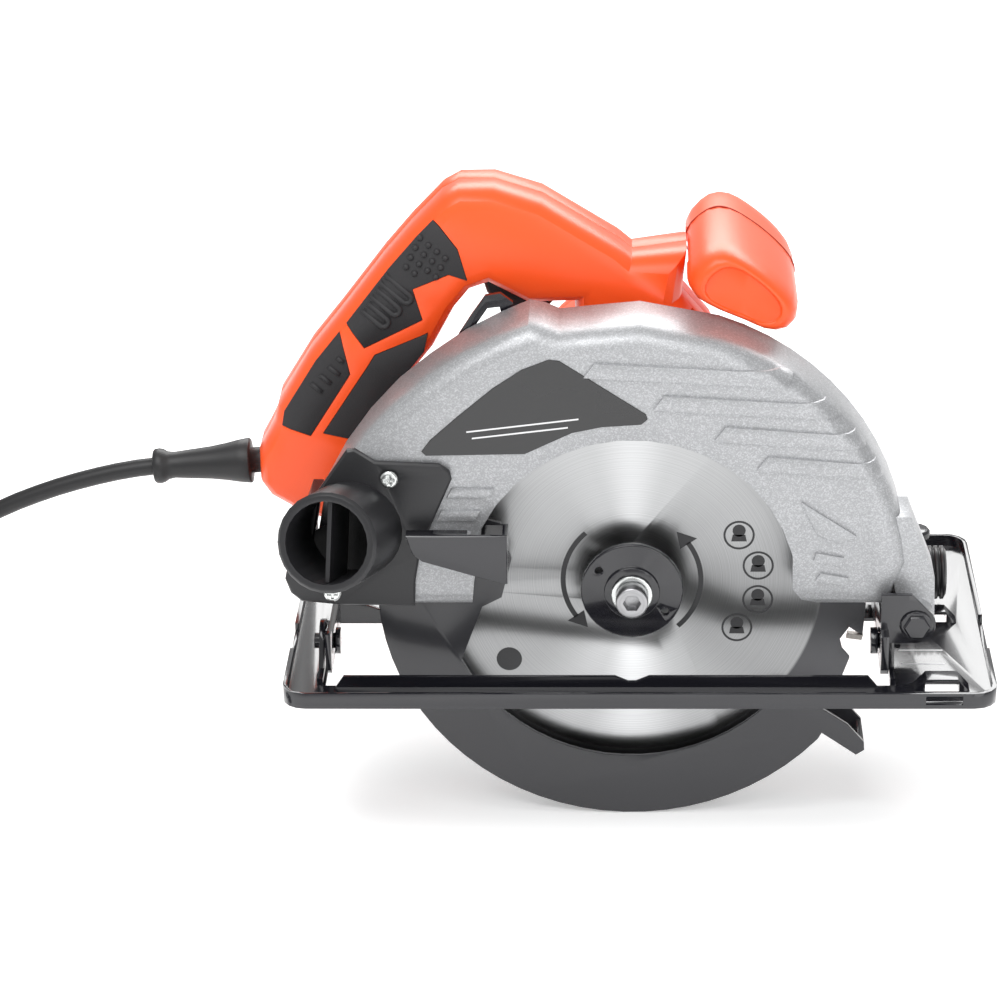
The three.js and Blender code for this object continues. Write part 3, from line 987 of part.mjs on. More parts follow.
// The plug lies on the surface beside the coil, where the lead's last turn ends.
function buildPlug(coilSpace) {
  const y = COIL_Y - COIL_RADII[0];
  const x = COIL_X + 28;
  const z = FLOOR_Z + CORD_R;
  const body = extrude('z', [
    [x + 12, y - 12], [x + 16, y - 21], [x + 52, y - 24], [x + 54, y - 22], [x + 54, y + 22],
    [x + 52, y + 24], [x + 16, y + 21], [x + 12, y + 12],
  ], FLOOR_Z, FLOOR_Z + 15, { edge: 2.5, steps: 2 });
  const base = extrude('z', [
    [x + 13, y - 20], [x + 53, y - 23.5], [x + 53, y + 23.5], [x + 13, y + 20],
  ], FLOOR_Z + 14, FLOOR_Z + 20, { edge: 1, steps: 1 });
  const boot = aim(turned([
    [0, -10], [CORD_R, -10], [CORD_R, 0], [4.2, 0.2], [4.8, 8], [6.2, 14], [0, 14],
  ], 0, 0, 16), new THREE.Vector3(1, 0, 0.06), new THREE.Vector3(x, y, z + 0.4));
  const pins = [
    box(x + 18, x + 22, y - 2, y + 2, FLOOR_Z + 19, FLOOR_Z + 40),
    box(x + 37, x + 41, y - 14, y - 8, FLOOR_Z + 19, FLOOR_Z + 36),
    box(x + 37, x + 41, y + 8, y + 14, FLOOR_Z + 19, FLOOR_Z + 36),
  ];
  const floor = box(x - 20, x + 60, y - 30, y + 30, FLOOR_Z - 10, FLOOR_Z);
  return cut(join(body, base, boot, ...pins), coilSpace, floor);
}

// ---------------------------------------------------------------- whole saw
buildBladeClamp();
buildDrive();
buildHousings();
buildGuards();
buildDustPort();
buildTiltFrame();
buildSole();
buildHandle();
buildSwitch();
buildFrontGrip();
buildLocks();
place(saw, 'cord_clamp', buildLead(), blackPlastic);

// The origin is the middle of the saw's footprint, at the height of its lowest point.
const bounds = new THREE.Box3().setFromObject(saw, true);
const centre = bounds.getCenter(new THREE.Vector3());
const part = new THREE.Group();
part.add(saw, lead);
part.position.set(-centre.x, -centre.y, -bounds.min.z);
part.updateMatrixWorld(true);

export default part;
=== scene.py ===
"""Looks of a hand-held circular saw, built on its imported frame.

Lengths named below are millimetres from the blade's centre, with +X the cutting direction,
+Y towards the motor and +Z up; at() turns them into the frame's metres.
"""
import json
import math

import bmesh
import bpy
import numpy as np
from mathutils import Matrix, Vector
from mathutils.bvhtree import BVHTree


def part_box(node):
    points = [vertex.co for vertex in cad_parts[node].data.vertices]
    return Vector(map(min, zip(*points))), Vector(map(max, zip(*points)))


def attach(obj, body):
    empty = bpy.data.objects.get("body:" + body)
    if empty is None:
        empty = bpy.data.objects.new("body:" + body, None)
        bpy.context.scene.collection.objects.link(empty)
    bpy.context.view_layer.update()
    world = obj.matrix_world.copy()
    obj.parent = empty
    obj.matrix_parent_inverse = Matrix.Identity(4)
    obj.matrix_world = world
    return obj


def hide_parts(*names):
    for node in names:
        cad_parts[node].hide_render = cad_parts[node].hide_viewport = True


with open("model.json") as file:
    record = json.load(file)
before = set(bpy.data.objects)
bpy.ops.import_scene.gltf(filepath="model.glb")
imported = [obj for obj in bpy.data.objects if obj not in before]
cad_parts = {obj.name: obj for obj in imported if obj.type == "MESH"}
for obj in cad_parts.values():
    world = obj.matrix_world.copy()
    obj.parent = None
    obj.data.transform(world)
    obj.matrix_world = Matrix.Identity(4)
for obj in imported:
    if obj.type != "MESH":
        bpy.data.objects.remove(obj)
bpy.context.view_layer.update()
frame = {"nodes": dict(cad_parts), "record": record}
nodes = frame["nodes"]

MM = 0.001
blade_low, blade_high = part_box("blade")
BLADE_CENTRE = np.array((blade_low + blade_high) / 2)

CAMERA_PLACE = (0, -1224.5, 569.6)
CAMERA_DOWN = 23.66  # degrees below level
CAMERA_LENS = 126.17
CAMERA_SHIFT = -0.132
FLOOR_GLOW = 0.32
WORLD_LIGHT = 0.55

HANDLE_Y = 52  # middle plane of the handle
HANDLE_FAR_Y = 70
FRONT_GRIP_SEAM_Y = 66
BLADE_NEAR_Y = -0.9
TEETH = 24
ARROW_R = 26.5
GRINDING_ENDS = (0.0725, 0.0735)  # metres from the blade's centre
PLATE_FRONT_Y = -12.95
PLATE_BACK_Y = -12.3
SOLE_TOP_Z = -32.4
KNOB_ANGLE = math.radians(5)  # the bevel lock's place on its quadrant
KNOB_R = 53
QUADRANT_CENTRE = (-6, -23.5)  # Y and Z of the bevel pivot

# A box's six faces, its corners being counted with the last of three axes running fastest.
BOX_FACES = [[0, 1, 3, 2], [4, 6, 7, 5], [0, 4, 5, 1], [2, 3, 7, 6], [0, 2, 6, 4], [1, 5, 7, 3]]


def at(x, y, z):
    """A place in millimetres from the blade's centre, as metres in the frame."""
    return BLADE_CENTRE + np.array([x, y, z], float) * MM


# ---------------------------------------------------------------- camera, floor and light
def make_camera():
    camera = bpy.data.objects.new("camera", bpy.data.cameras.new("camera"))
    bpy.context.scene.collection.objects.link(camera)
    camera.location = Vector(at(*CAMERA_PLACE))
    camera.rotation_euler = (math.radians(90 - CAMERA_DOWN), 0, 0)
    camera.data.sensor_width = 36
    camera.data.lens = CAMERA_LENS
    camera.data.shift_x = CAMERA_SHIFT
    camera.data.clip_end = 20
    bpy.context.scene.camera = camera


def area_light(name, place, size, power):
    """A rectangular light that faces the blade's centre."""
    data = bpy.data.lights.new(name, "AREA")
    data.shape = "RECTANGLE"
    data.size, data.size_y = size
    data.energy = power
    light = bpy.data.objects.new(name, data)
    bpy.context.scene.collection.objects.link(light)
    light.location = Vector(at(*place))
    light.rotation_euler = (Vector(at(0, 0, 0)) - light.location).to_track_quat("-Z", "Y").to_euler()


def make_studio():
    mesh = bpy.data.meshes.new("floor")
    mesh.from_pydata([(-6, -6, 0), (6, -6, 0), (6, 6, 0), (-6, 6, 0)], [], [(0, 1, 2, 3)])
    floor = bpy.data.objects.new("floor", mesh)
    bpy.context.scene.collection.objects.link(floor)
    floor.location.z = -0.0004
    material = bpy.data.materials.new("floor_paper")
    material.use_nodes = True
    shader = material.node_tree.nodes["Principled BSDF"]
    shader.inputs["Base Color"].default_value = (0.95, 0.95, 0.95, 1)
    shader.inputs["Roughness"].default_value = 0.85
    shader.inputs["Emission Color"].default_value = (1, 1, 1, 1)
    shader.inputs["Emission Strength"].default_value = FLOOR_GLOW
    mesh.materials.append(material)
    world = bpy.data.worlds.new("studio")
    world.use_nodes = True
    world.node_tree.nodes["Background"].inputs["Color"].default_value = (1, 1, 1, 1)
    world.node_tree.nodes["Background"].inputs["Strength"].default_value = WORLD_LIGHT
    bpy.context.scene.world = world
    bpy.context.scene.view_settings.view_transform = "Standard"
    area_light("key", (-250, -500, 900), (0.9, 0.6), 8)
    area_light("front", (450, -900, 350), (0.5, 0.9), 2.6)
    area_light("back", (100, 900, 700), (1.2, 0.5), 12)


# ---------------------------------------------------------------- surfaces
def make_piece(name, points, faces, material, body, smooth=True):
    """One mesh object at the origin from points in metres, riding on a body."""
    mesh = bpy.data.meshes.new(name)
    mesh.from_pydata(np.asarray(points, float).tolist(), [], faces)
    mesh.polygons.foreach_set("use_smooth", [smooth] * len(mesh.polygons))
    mesh.materials.append(material)
    mesh.validate()
    piece = bpy.data.objects.new(name, mesh)
    bpy.context.scene.collection.objects.link(piece)
    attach(piece, body)
    return piece


def grid_faces(rows, columns, wrap_rows=False, wrap_columns=True):
    """Quads between neighbours of a rows by columns grid of points."""
    i = np.arange(rows if wrap_rows else rows - 1)
    j = np.arange(columns if wrap_columns else columns - 1)
    i, j = (a.ravel() for a in np.meshgrid(i, j, indexing="ij"))
    ni, nj = (i + 1) % rows, (j + 1) % columns
    return np.stack([i * columns + j, i * columns + nj, ni * columns + nj, ni * columns + j], 1)


def unit(v):
    v = np.asarray(v, float)
    return v / np.linalg.norm(v, axis=-1, keepdims=True)


def side_axes(direction):
    """Two unit vectors square to a direction."""
    direction = unit(direction)
    helper = np.array([0.0, 0.0, 1.0]) if abs(direction[2]) < 0.9 else np.array([1.0, 0.0, 0.0])
    across = unit(np.cross(direction, helper))
    return across, np.cross(direction, across)


def turned(name, profile, centre, direction, material, body, segments=64):
    """A surface of revolution: each profile point is (distance along the axis, radius)."""
    profile = np.asarray(profile, float)
    across, up = side_axes(direction)
    turn = np.linspace(0, 2 * math.pi, segments, endpoint=False)
    ring = np.cos(turn)[:, None] * across + np.sin(turn)[:, None] * up
    points = (at(*centre) + MM * (profile[:, 0, None, None] * unit(direction)
              + profile[:, 1, None, None] * ring[None]))
    faces = grid_faces(len(profile), segments).tolist()
    return finished(make_piece(name, points.reshape(-1, 3), faces, material, body))


def finished(piece):
    """Merges doubled points and turns the faces outwards."""
    bm = bmesh.new()
    bm.from_mesh(piece.data)
    bmesh.ops.remove_doubles(bm, verts=bm.verts, dist=1e-7)
    bmesh.ops.holes_fill(bm, edges=[e for e in bm.edges if e.is_boundary], sides=0)
    bmesh.ops.recalc_face_normals(bm, faces=bm.faces)
    bm.to_mesh(piece.data)
    bm.free()
    return piece


def sweep(name, path, radius, material, body, sides=12, closed=False):
    """A round wire: circles square to the path, carried along it without twisting."""
    path = np.array([at(*p) for p in path])
    ahead = unit(np.roll(path, -1, 0) - np.roll(path, 1, 0))
    if not closed:
        ahead[0], ahead[-1] = unit(path[1] - path[0]), unit(path[-1] - path[-2])
    across = [side_axes(ahead[0])[0]]
    for step in ahead[1:]:
        across.append(unit(across[-1] - step * np.dot(across[-1], step)))
    across = np.array(across)
    up = np.cross(ahead, across)
    turn = np.linspace(0, 2 * math.pi, sides, endpoint=False)
    rings = (across[:, None] * np.cos(turn)[:, None] + up[:, None] * np.sin(turn)[:, None])
    points = path[:, None] + rings * radius * MM
    faces = grid_faces(len(path), sides, wrap_rows=closed).tolist()
    return finished(make_piece(name, points.reshape(-1, 3), faces, material, body))


def plate(name, outline, front_y, back_y, material, body, round_by):
    """A flat plate between two Y places, with its edges rounded by a modifier."""
    outline = np.asarray(outline, float)
    count = len(outline)
    front = [at(x, front_y, z) for x, z in outline]
    back = [at(x, back_y, z) for x, z in outline]
    faces = [list(range(count)), list(range(2 * count - 1, count - 1, -1))]
    faces += [[(i + 1) % count, i, i + count, (i + 1) % count + count] for i in range(count)]
    piece = finished(make_piece(name, front + back, faces, material, body, smooth=False))
    soften(piece, round_by)
    return piece


def ring_points(radius, start, stop, count):
    """Points (x, z) along an arc between two angles in degrees."""
    turn = np.radians(np.linspace(start, stop, count))
    return np.stack([radius * np.cos(turn), radius * np.sin(turn)], 1)


def soften(piece, width):
    """A rounded edge of a given width, in millimetres, wherever two faces meet sharply."""
    bevel = piece.modifiers.new("edge", "BEVEL")
    bevel.width = width * MM
    bevel.segments = 2
    bevel.limit_method = "ANGLE"
    bevel.angle_limit = math.radians(32)
    bevel.harden_normals = True
    piece.data.polygons.foreach_set("use_smooth", [True] * len(piece.data.polygons))


def soften_node(name, width):
    """Rounds a carried-over node's edges: its loose triangles are welded first."""
    node = nodes[name]
    weld = node.modifiers.new("weld", "WELD")
    weld.merge_threshold = 2e-6
    soften(node, width)


# ---------------------------------------------------------------- shader groups
def new_group(name, inputs, outputs):
    """A node group with named sockets; returns the tree and its two end nodes."""
    group = bpy.data.node_groups.new(name, "ShaderNodeTree")
    for title, kind, value in inputs:
        socket = group.interface.new_socket(name=title, in_out="INPUT", socket_type=kind)
        socket.default_value = value
    for title, kind in outputs:
        group.interface.new_socket(name=title, in_out="OUTPUT", socket_type=kind)
    return group, group.nodes.new("NodeGroupInput"), group.nodes.new("NodeGroupOutput")


def add(tree, kind, **values):
    """A node with its settings and input values given by name."""
    node = tree.nodes.new(kind)
    for title, value in values.items():
        if hasattr(node, title):
            setattr(node, title, value)
        else:
            node.inputs[title.replace("_", " ")].default_value = value
    return node


FLOAT, COLOUR, VECTOR = "NodeSocketFloat", "NodeSocketColor", "NodeSocketVector"


def moulding_group():
    """Fine moulded grain, with slow colour and gloss drift, all from noise in the piece's place."""
    group, inlet, outlet = new_group("moulding", [
        ("Colour", COLOUR, (0.5, 0.5, 0.5, 1)), ("Drift", FLOAT, 0.06), ("Grain", FLOAT, 900),
        ("Depth", FLOAT, 0.05), ("Gloss", FLOAT, 0.4), ("Gloss drift", FLOAT, 0.1),
    ], [("Colour", COLOUR), ("Roughness", FLOAT), ("Normal", VECTOR)])
    link = group.links.new
    place = group.nodes.new("ShaderNodeTexCoord")
    slow = add(group, "ShaderNodeTexNoise", Scale=14.0, Detail=3.0)
    fine = add(group, "ShaderNodeTexNoise", Detail=2.0)
    link(place.outputs["Object"], slow.inputs["Vector"])
    link(place.outputs["Object"], fine.inputs["Vector"])
    link(inlet.outputs["Grain"], fine.inputs["Scale"])
    shade = add(group, "ShaderNodeMapRange")
    shade.inputs["From Min"].default_value = 0.3
    shade.inputs["From Max"].default_value = 0.7
    link(slow.outputs["Fac"], shade.inputs["Value"])
    less = add(group, "ShaderNodeMath", operation="SUBTRACT")
    less.inputs[0].default_value = 1
    link(inlet.outputs["Drift"], less.inputs[1])
    link(less.outputs[0], shade.inputs["To Min"])
    shade.inputs["To Max"].default_value = 1
    tint = add(group, "ShaderNodeVectorMath", operation="SCALE")
    link(inlet.outputs["Colour"], tint.inputs[0])
    link(shade.outputs[0], tint.inputs["Scale"])
    link(tint.outputs[0], outlet.inputs["Colour"])
    centred = add(group, "ShaderNodeMath", operation="SUBTRACT")
    centred.inputs[1].default_value = 0.5
    link(slow.outputs["Fac"], centred.inputs[0])
    rough = add(group, "ShaderNodeMath", operation="MULTIPLY_ADD")
    link(centred.outputs[0], rough.inputs[0])
    link(inlet.outputs["Gloss drift"], rough.inputs[1])
    link(inlet.outputs["Gloss"], rough.inputs[2])
    link(rough.outputs[0], outlet.inputs["Roughness"])
    bump = add(group, "ShaderNodeBump", Distance=0.0002)
    link(inlet.outputs["Depth"], bump.inputs["Strength"])
    link(fine.outputs["Fac"], bump.inputs["Height"])
    link(bump.outputs[0], outlet.inputs["Normal"])
    return group


def sparkle_group():
    """Metallic flakes: small cells of random brightness over a base colour, with orange peel."""
    group, inlet, outlet = new_group("sparkle", [
        ("Colour", COLOUR, (0.6, 0.6, 0.62, 1)), ("Flake", COLOUR, (0.95, 0.95, 0.97, 1)),
        ("Scale", FLOAT, 1300), ("Amount", FLOAT, 0.5), ("Gloss", FLOAT, 0.4),
    ], [("Colour", COLOUR), ("Roughness", FLOAT), ("Normal", VECTOR)])
    link = group.links.new
    place = group.nodes.new("ShaderNodeTexCoord")
    cells = add(group, "ShaderNodeTexVoronoi")
    link(place.outputs["Object"], cells.inputs["Vector"])
    link(inlet.outputs["Scale"], cells.inputs["Scale"])
    bright = add(group, "ShaderNodeSeparateColor")
    link(cells.outputs["Color"], bright.inputs[0])
    mask = add(group, "ShaderNodeMapRange")
    mask.inputs["From Min"].default_value = 0.45
    mask.inputs["From Max"].default_value = 1.0
    link(bright.outputs[0], mask.inputs["Value"])
    amount = add(group, "ShaderNodeMath", operation="MULTIPLY")
    link(mask.outputs[0], amount.inputs[0])
    link(inlet.outputs["Amount"], amount.inputs[1])
    mix = add(group, "ShaderNodeMix", data_type="RGBA")
    link(amount.outputs[0], mix.inputs["Factor"])
    link(inlet.outputs["Colour"], mix.inputs[6])
    link(inlet.outputs["Flake"], mix.inputs[7])
    link(mix.outputs[2], outlet.inputs["Colour"])
    rough = add(group, "ShaderNodeMath", operation="MULTIPLY_ADD")
    link(bright.outputs[1], rough.inputs[0])
    rough.inputs[1].default_value = 0.12
    link(inlet.outputs["Gloss"], rough.inputs[2])
    link(rough.outputs[0], outlet.inputs["Roughness"])
    peel = add(group, "ShaderNodeTexNoise", Scale=420.0, Detail=2.0)
    link(place.outputs["Object"], peel.inputs["Vector"])
    bump = add(group, "ShaderNodeBump", Distance=0.0002, Strength=0.18)
    link(peel.outputs["Fac"], bump.inputs["Height"])
    link(bump.outputs[0], outlet.inputs["Normal"])
    return group


def brushed_group():
    """Marks of turning round the Y axis through Centre: noise drawn out along circles."""
    group, inlet, outlet = new_group("brushed", [
        ("Colour", COLOUR, (0.5, 0.5, 0.5, 1)), ("Centre", VECTOR, (0, 0, 0)),
        ("Rings", FLOAT, 1800), ("Depth", FLOAT, 0.06), ("Gloss", FLOAT, 0.3),
    ], [("Colour", COLOUR), ("Roughness", FLOAT), ("Normal", VECTOR), ("Distance", FLOAT)])
    link = group.links.new
    place = group.nodes.new("ShaderNodeTexCoord")
    offset = add(group, "ShaderNodeVectorMath", operation="SUBTRACT")
    link(place.outputs["Object"], offset.inputs[0])
    link(inlet.outputs["Centre"], offset.inputs[1])
    flat = add(group, "ShaderNodeVectorMath", operation="MULTIPLY")
    flat.inputs[1].default_value = (1, 0, 1)
    link(offset.outputs[0], flat.inputs[0])
    far = add(group, "ShaderNodeVectorMath", operation="LENGTH")
    link(flat.outputs[0], far.inputs[0])
    link(far.outputs["Value"], outlet.inputs["Distance"])
    marks = add(group, "ShaderNodeTexNoise", noise_dimensions="1D", Detail=3.0)
    link(far.outputs["Value"], marks.inputs["W"])
    link(inlet.outputs["Rings"], marks.inputs["Scale"])
    smear = add(group, "ShaderNodeTexNoise", Scale=18.0, Detail=3.0)
    link(place.outputs["Object"], smear.inputs["Vector"])
    shade = add(group, "ShaderNodeMapRange")
    shade.inputs["From Min"].default_value = 0.3
    shade.inputs["From Max"].default_value = 0.7
    shade.inputs["To Min"].default_value = 0.86
    shade.inputs["To Max"].default_value = 1.06
    link(marks.outputs["Fac"], shade.inputs["Value"])
    tint = add(group, "ShaderNodeVectorMath", operation="SCALE")
    link(inlet.outputs["Colour"], tint.inputs[0])
    link(shade.outputs[0], tint.inputs["Scale"])
    link(tint.outputs[0], outlet.inputs["Colour"])
    rough = add(group, "ShaderNodeMath", operation="MULTIPLY_ADD")
    link(smear.outputs["Fac"], rough.inputs[0])
    rough.inputs[1].default_value = 0.14
    link(inlet.outputs["Gloss"], rough.inputs[2])
    link(rough.outputs[0], outlet.inputs["Roughness"])
    bump = add(group, "ShaderNodeBump", Distance=0.0001)
    link(inlet.outputs["Depth"], bump.inputs["Strength"])
    link(marks.outputs["Fac"], bump.inputs["Height"])
    link(bump.outputs[0], outlet.inputs["Normal"])
    return group


MOULDING = moulding_group()
SPARKLE = sparkle_group()
BRUSHED = brushed_group()


# ---------------------------------------------------------------- materials
def shaded(name, group, values, **shader_values):
    """A material whose colour, roughness and normal come from a group placed in it."""
    material = bpy.data.materials.new(name)
    material.use_nodes = True
    tree = material.node_tree
    shader = tree.nodes["Principled BSDF"]
    detail = tree.nodes.new("ShaderNodeGroup")
    detail.node_tree = group
    for title, value in values.items():
        detail.inputs[title].default_value = value
    tree.links.new(detail.outputs["Colour"], shader.inputs["Base Color"])
    tree.links.new(detail.outputs["Roughness"], shader.inputs["Roughness"])
    tree.links.new(detail.outputs["Normal"], shader.inputs["Normal"])
    for title, value in shader_values.items():
        shader.inputs[title.replace("_", " ")].default_value = value
    material.diffuse_color = values["Colour"]
    return material


def moulded(name, colour, gloss, drift=0.06, grain=900, depth=0.05, **extra):
    return shaded(name, MOULDING, {"Colour": (*colour, 1), "Gloss": gloss, "Drift": drift,
                                   "Grain": grain, "Depth": depth}, **extra)


def turned_metal(name, colour, gloss, centre=(0, 0, 0), rings=1800, depth=0.06, **extra):
    return shaded(name, BRUSHED, {"Colour": (*colour, 1), "Gloss": gloss, "Centre": at(*centre),
                                  "Rings": rings, "Depth": depth}, Metallic=1.0, **extra)


# Painted highlight and shade on the ground blade: bright and dark fans standing in for the steel's
# reflections, as (share of a turn, brightness).
PAINTED_SHEEN_FANS = [(0.0, 0.7), (0.13, 0.8), (0.2, 0.9), (0.25, 1.15), (0.3, 0.9), (0.4, 0.75), (0.5, 0.62),
        (0.6, 0.66), (0.68, 0.9), (0.75, 1.5), (0.8, 1.05), (0.9, 0.72), (1.0, 0.7)]


def blade_material():
    """Brushed steel to the ring where the grinding ends, and matt beyond it; painted highlight and
    shade in fans round the centre brighten and darken its colour.
    """
    material = turned_metal("blade_steel", (0.47, 0.475, 0.48), 0.24, rings=2600, depth=0.1,
                            Anisotropic=0.75)
    tree = material.node_tree
    shader = tree.nodes["Principled BSDF"]
    detail = next(n for n in tree.nodes if n.type == "GROUP")
    ring = add(tree, "ShaderNodeMapRange")
    ring.inputs["From Min"].default_value = GRINDING_ENDS[0]
    ring.inputs["From Max"].default_value = GRINDING_ENDS[1]
    tree.links.new(detail.outputs["Distance"], ring.inputs["Value"])
    matt = add(tree, "ShaderNodeMix", data_type="FLOAT")
    tree.links.new(ring.outputs[0], matt.inputs[0])
    tree.links.new(detail.outputs["Roughness"], matt.inputs[2])
    matt.inputs[3].default_value = 0.62
    tree.links.new(matt.outputs[0], shader.inputs["Roughness"])
    darker = add(tree, "ShaderNodeMix", data_type="RGBA")
    tree.links.new(ring.outputs[0], darker.inputs["Factor"])
    tree.links.new(detail.outputs["Colour"], darker.inputs[6])
    darker.inputs[7].default_value = (0.20, 0.20, 0.21, 1)
    # painted highlight and shade: a radial gradient round the blade's centre brightens and darkens
    # its colour in fans
    painted_sheen_gradient = add(tree, "ShaderNodeTexGradient", gradient_type="RADIAL")
    turn = add(tree, "ShaderNodeMapping", vector_type="POINT")
    turn.inputs["Rotation"].default_value = (math.radians(90), 0, 0)
    place = tree.nodes.new("ShaderNodeTexCoord")
    offset = add(tree, "ShaderNodeVectorMath", operation="SUBTRACT")
    offset.inputs[1].default_value = at(0, 0, 0)
    tree.links.new(place.outputs["Object"], offset.inputs[0])
    tree.links.new(offset.outputs[0], turn.inputs["Vector"])
    tree.links.new(turn.outputs[0], painted_sheen_gradient.inputs["Vector"])
    shade = add(tree, "ShaderNodeValToRGB")
    shade.color_ramp.interpolation = "EASE"
    while len(shade.color_ramp.elements) < len(PAINTED_SHEEN_FANS):
        shade.color_ramp.elements.new(0.5)
    for element, (place_on, value) in zip(shade.color_ramp.elements, PAINTED_SHEEN_FANS):
        element.position = place_on
        element.color = (value, value, value, 1)
    tree.links.new(painted_sheen_gradient.outputs["Fac"], shade.inputs["Fac"])
    lit = add(tree, "ShaderNodeVectorMath", operation="MULTIPLY")
    tree.links.new(darker.outputs[2], lit.inputs[0])
    tree.links.new(shade.outputs["Color"], lit.inputs[1])
    tree.links.new(lit.outputs[0], shader.inputs["Base Color"])
    return material


CAST_SILVER = shaded("cast_silver", SPARKLE, {
    "Colour": (0.36, 0.365, 0.375, 1), "Flake": (0.68, 0.69, 0.71, 1), "Scale": 2300,
    "Amount": 0.45, "Gloss": 0.42}, Metallic=0.55, Coat_Weight=0.12, Coat_Roughness=0.25)
ORANGE = moulded("orange_plastic", (1.0, 0.095, 0.012), 0.38, drift=0.05, grain=700, depth=0.04,
                 Coat_Weight=0.08, Coat_Roughness=0.2, Subsurface_Weight=0.03)
ORANGE_SEAM = moulded("orange_seam", (0.35, 0.025, 0.006), 0.6)
SOFT_GRIP = moulded("soft_grip", (0.022, 0.021, 0.023), 0.62, drift=0.2, grain=1600, depth=0.3)
BLACK_PLASTIC = moulded("black_plastic", (0.018, 0.018, 0.020), 0.38, drift=0.15, grain=1200,
                        depth=0.15)
BLACK_STEEL = moulded("black_steel", (0.010, 0.010, 0.014), 0.20, drift=0.2, grain=260,
                      depth=0.06, Coat_Weight=0.6, Coat_Roughness=0.08)
GUARD_BLACK = moulded("guard_black", (0.022, 0.022, 0.026), 0.30, drift=0.2, grain=300,
                      depth=0.06, Coat_Weight=0.4, Coat_Roughness=0.14)
LABEL_BLACK = moulded("label_black", (0.012, 0.012, 0.013), 0.28, drift=0.1, Coat_Weight=0.4)
PRINT = moulded("print_ink", (0.02, 0.02, 0.022), 0.5)
SIGHT_WHITE = moulded("sight_white", (0.75, 0.75, 0.76), 0.4)
BLADE_STEEL = blade_material()
ZINC = turned_metal("zinc_steel", (0.72, 0.74, 0.73), 0.18, rings=900)
TURNED_STEEL = turned_metal("turned_steel", (0.40, 0.40, 0.41), 0.24, rings=1200)
CARBIDE = turned_metal("carbide", (0.33, 0.31, 0.29), 0.35, rings=700)
COPPER = turned_metal("copper_winding", (0.62, 0.23, 0.10), 0.34, (0, 0, 30), rings=700, depth=0.4)
LAMINATE = moulded("laminate", (0.15, 0.155, 0.165), 0.5, Metallic=0.8)
CARBON = moulded("carbon", (0.016, 0.016, 0.017), 0.7)
FAN_PLASTIC = moulded("fan_plastic", (0.045, 0.047, 0.05), 0.5)
CORD_RUBBER = moulded("cord_rubber", (0.013, 0.013, 0.014), 0.48, drift=0.2, grain=1400, depth=0.12)

FINISHES = {
    "cast_silver": CAST_SILVER, "orange_plastic": ORANGE, "soft_grip": SOFT_GRIP,
    "black_plastic": BLACK_PLASTIC, "black_steel": BLACK_STEEL, "guard_black": GUARD_BLACK,
    "blade_steel": BLADE_STEEL, "zinc_steel": ZINC, "turned_steel": TURNED_STEEL,
    "copper_winding": COPPER, "laminate": LAMINATE, "carbon": CARBON,
    "fan_plastic": FAN_PLASTIC, "cord_rubber": CORD_RUBBER,
}


# ---------------------------------------------------------------- mains lead
CORD_R = 3.5
# The lead from the boot down to the coil: (x, z) in the handle's plane.
DROP = [
    (-189, 25), (-196, 24.1), (-204, 22.6), (-212, 20.7), (-220, 18.5), (-228, 16), (-236, 13.1),
    (-244, 9.9), (-252, 6.2), (-260, 1.6), (-268, -4.4), (-275, -12), (-281, -21.5),
    (-286, -32.5), (-290.5, -44), (-295.5, -55.5), (-302, -66.5), (-310.5, -76), (-320, -82.6),
    (-330, -86.2), (-340, -87),
]
COIL_X, COIL_Y = -340, 3
COIL_RADII = (49, 42, 35)
FLOOR_Z = -97.44
LOWER_LAYER, UPPER_LAYER = FLOOR_Z + CORD_R, FLOOR_Z + 3 * CORD_R


def coil_route():
    """The coil: inwards on the upper layer and outwards on the lower one, each turn's radius
    easing to the next over its last eighth, and a short way down in the innermost turn."""
    turns, points_per_turn = 5.5, 28
    turn = np.linspace(0, turns, int(turns * points_per_turn) + 1)[1:]
    radii = np.array([*COIL_RADII, *COIL_RADII[::-1], COIL_RADII[0]], float)
    whole = np.minimum(turn.astype(int), 5)
    ease = np.clip((turn - whole - 0.75) * 4, 0, 1)
    ease = ease * ease * (3 - 2 * ease)
    radius = radii[whole] + (radii[whole + 1] - radii[whole]) * ease
    fall = np.clip((turn - 2.6) * 2.2, 0, 1)
    fall = fall * fall * (3 - 2 * fall)
    height = UPPER_LAYER + (LOWER_LAYER - UPPER_LAYER) * fall
    angle = math.pi / 2 + turn * 2 * math.pi
    return np.stack([COIL_X + radius * np.cos(angle), COIL_Y + radius * np.sin(angle), height], 1)


def make_cord():
    """The mains lead, its boot and the tie round its coil."""
    path = [(x, HANDLE_Y, z) for x, z in DROP]
    path += coil_route().tolist()
    path += [(COIL_X + d, COIL_Y - COIL_RADII[0], LOWER_LAYER) for d in (8, 16, 24)]
    curve = bpy.data.curves.new("mains_cord", "CURVE")
    curve.dimensions = "3D"
    curve.bevel_depth = CORD_R * MM
    curve.bevel_resolution = 4
    curve.use_fill_caps = True
    spline = curve.splines.new("POLY")
    spline.points.add(len(path) - 1)
    metres = np.array([at(*p) for p in path])
    spline.points.foreach_set("co", np.c_[metres, np.ones(len(metres))].ravel())
    spline.use_smooth = True
    curve.materials.append(CORD_RUBBER)
    cord = bpy.data.objects.new("mains_cord", curve)
    bpy.context.scene.collection.objects.link(cord)
    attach(cord, "saw")
    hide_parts("cord_tube", "cord_coil")
    boot = make_strain_relief()
    tie = [(COIL_X - COIL_RADII[1] + 12.5 * math.cos(t), COIL_Y + 2,
            FLOOR_Z + 2 * CORD_R + 8.2 * math.sin(t))
           for t in np.linspace(0, 2 * math.pi, 33)[:-1]]
    sweep("coil_tie", tie, 0.9, BLACK_PLASTIC, "saw", sides=8, closed=True)


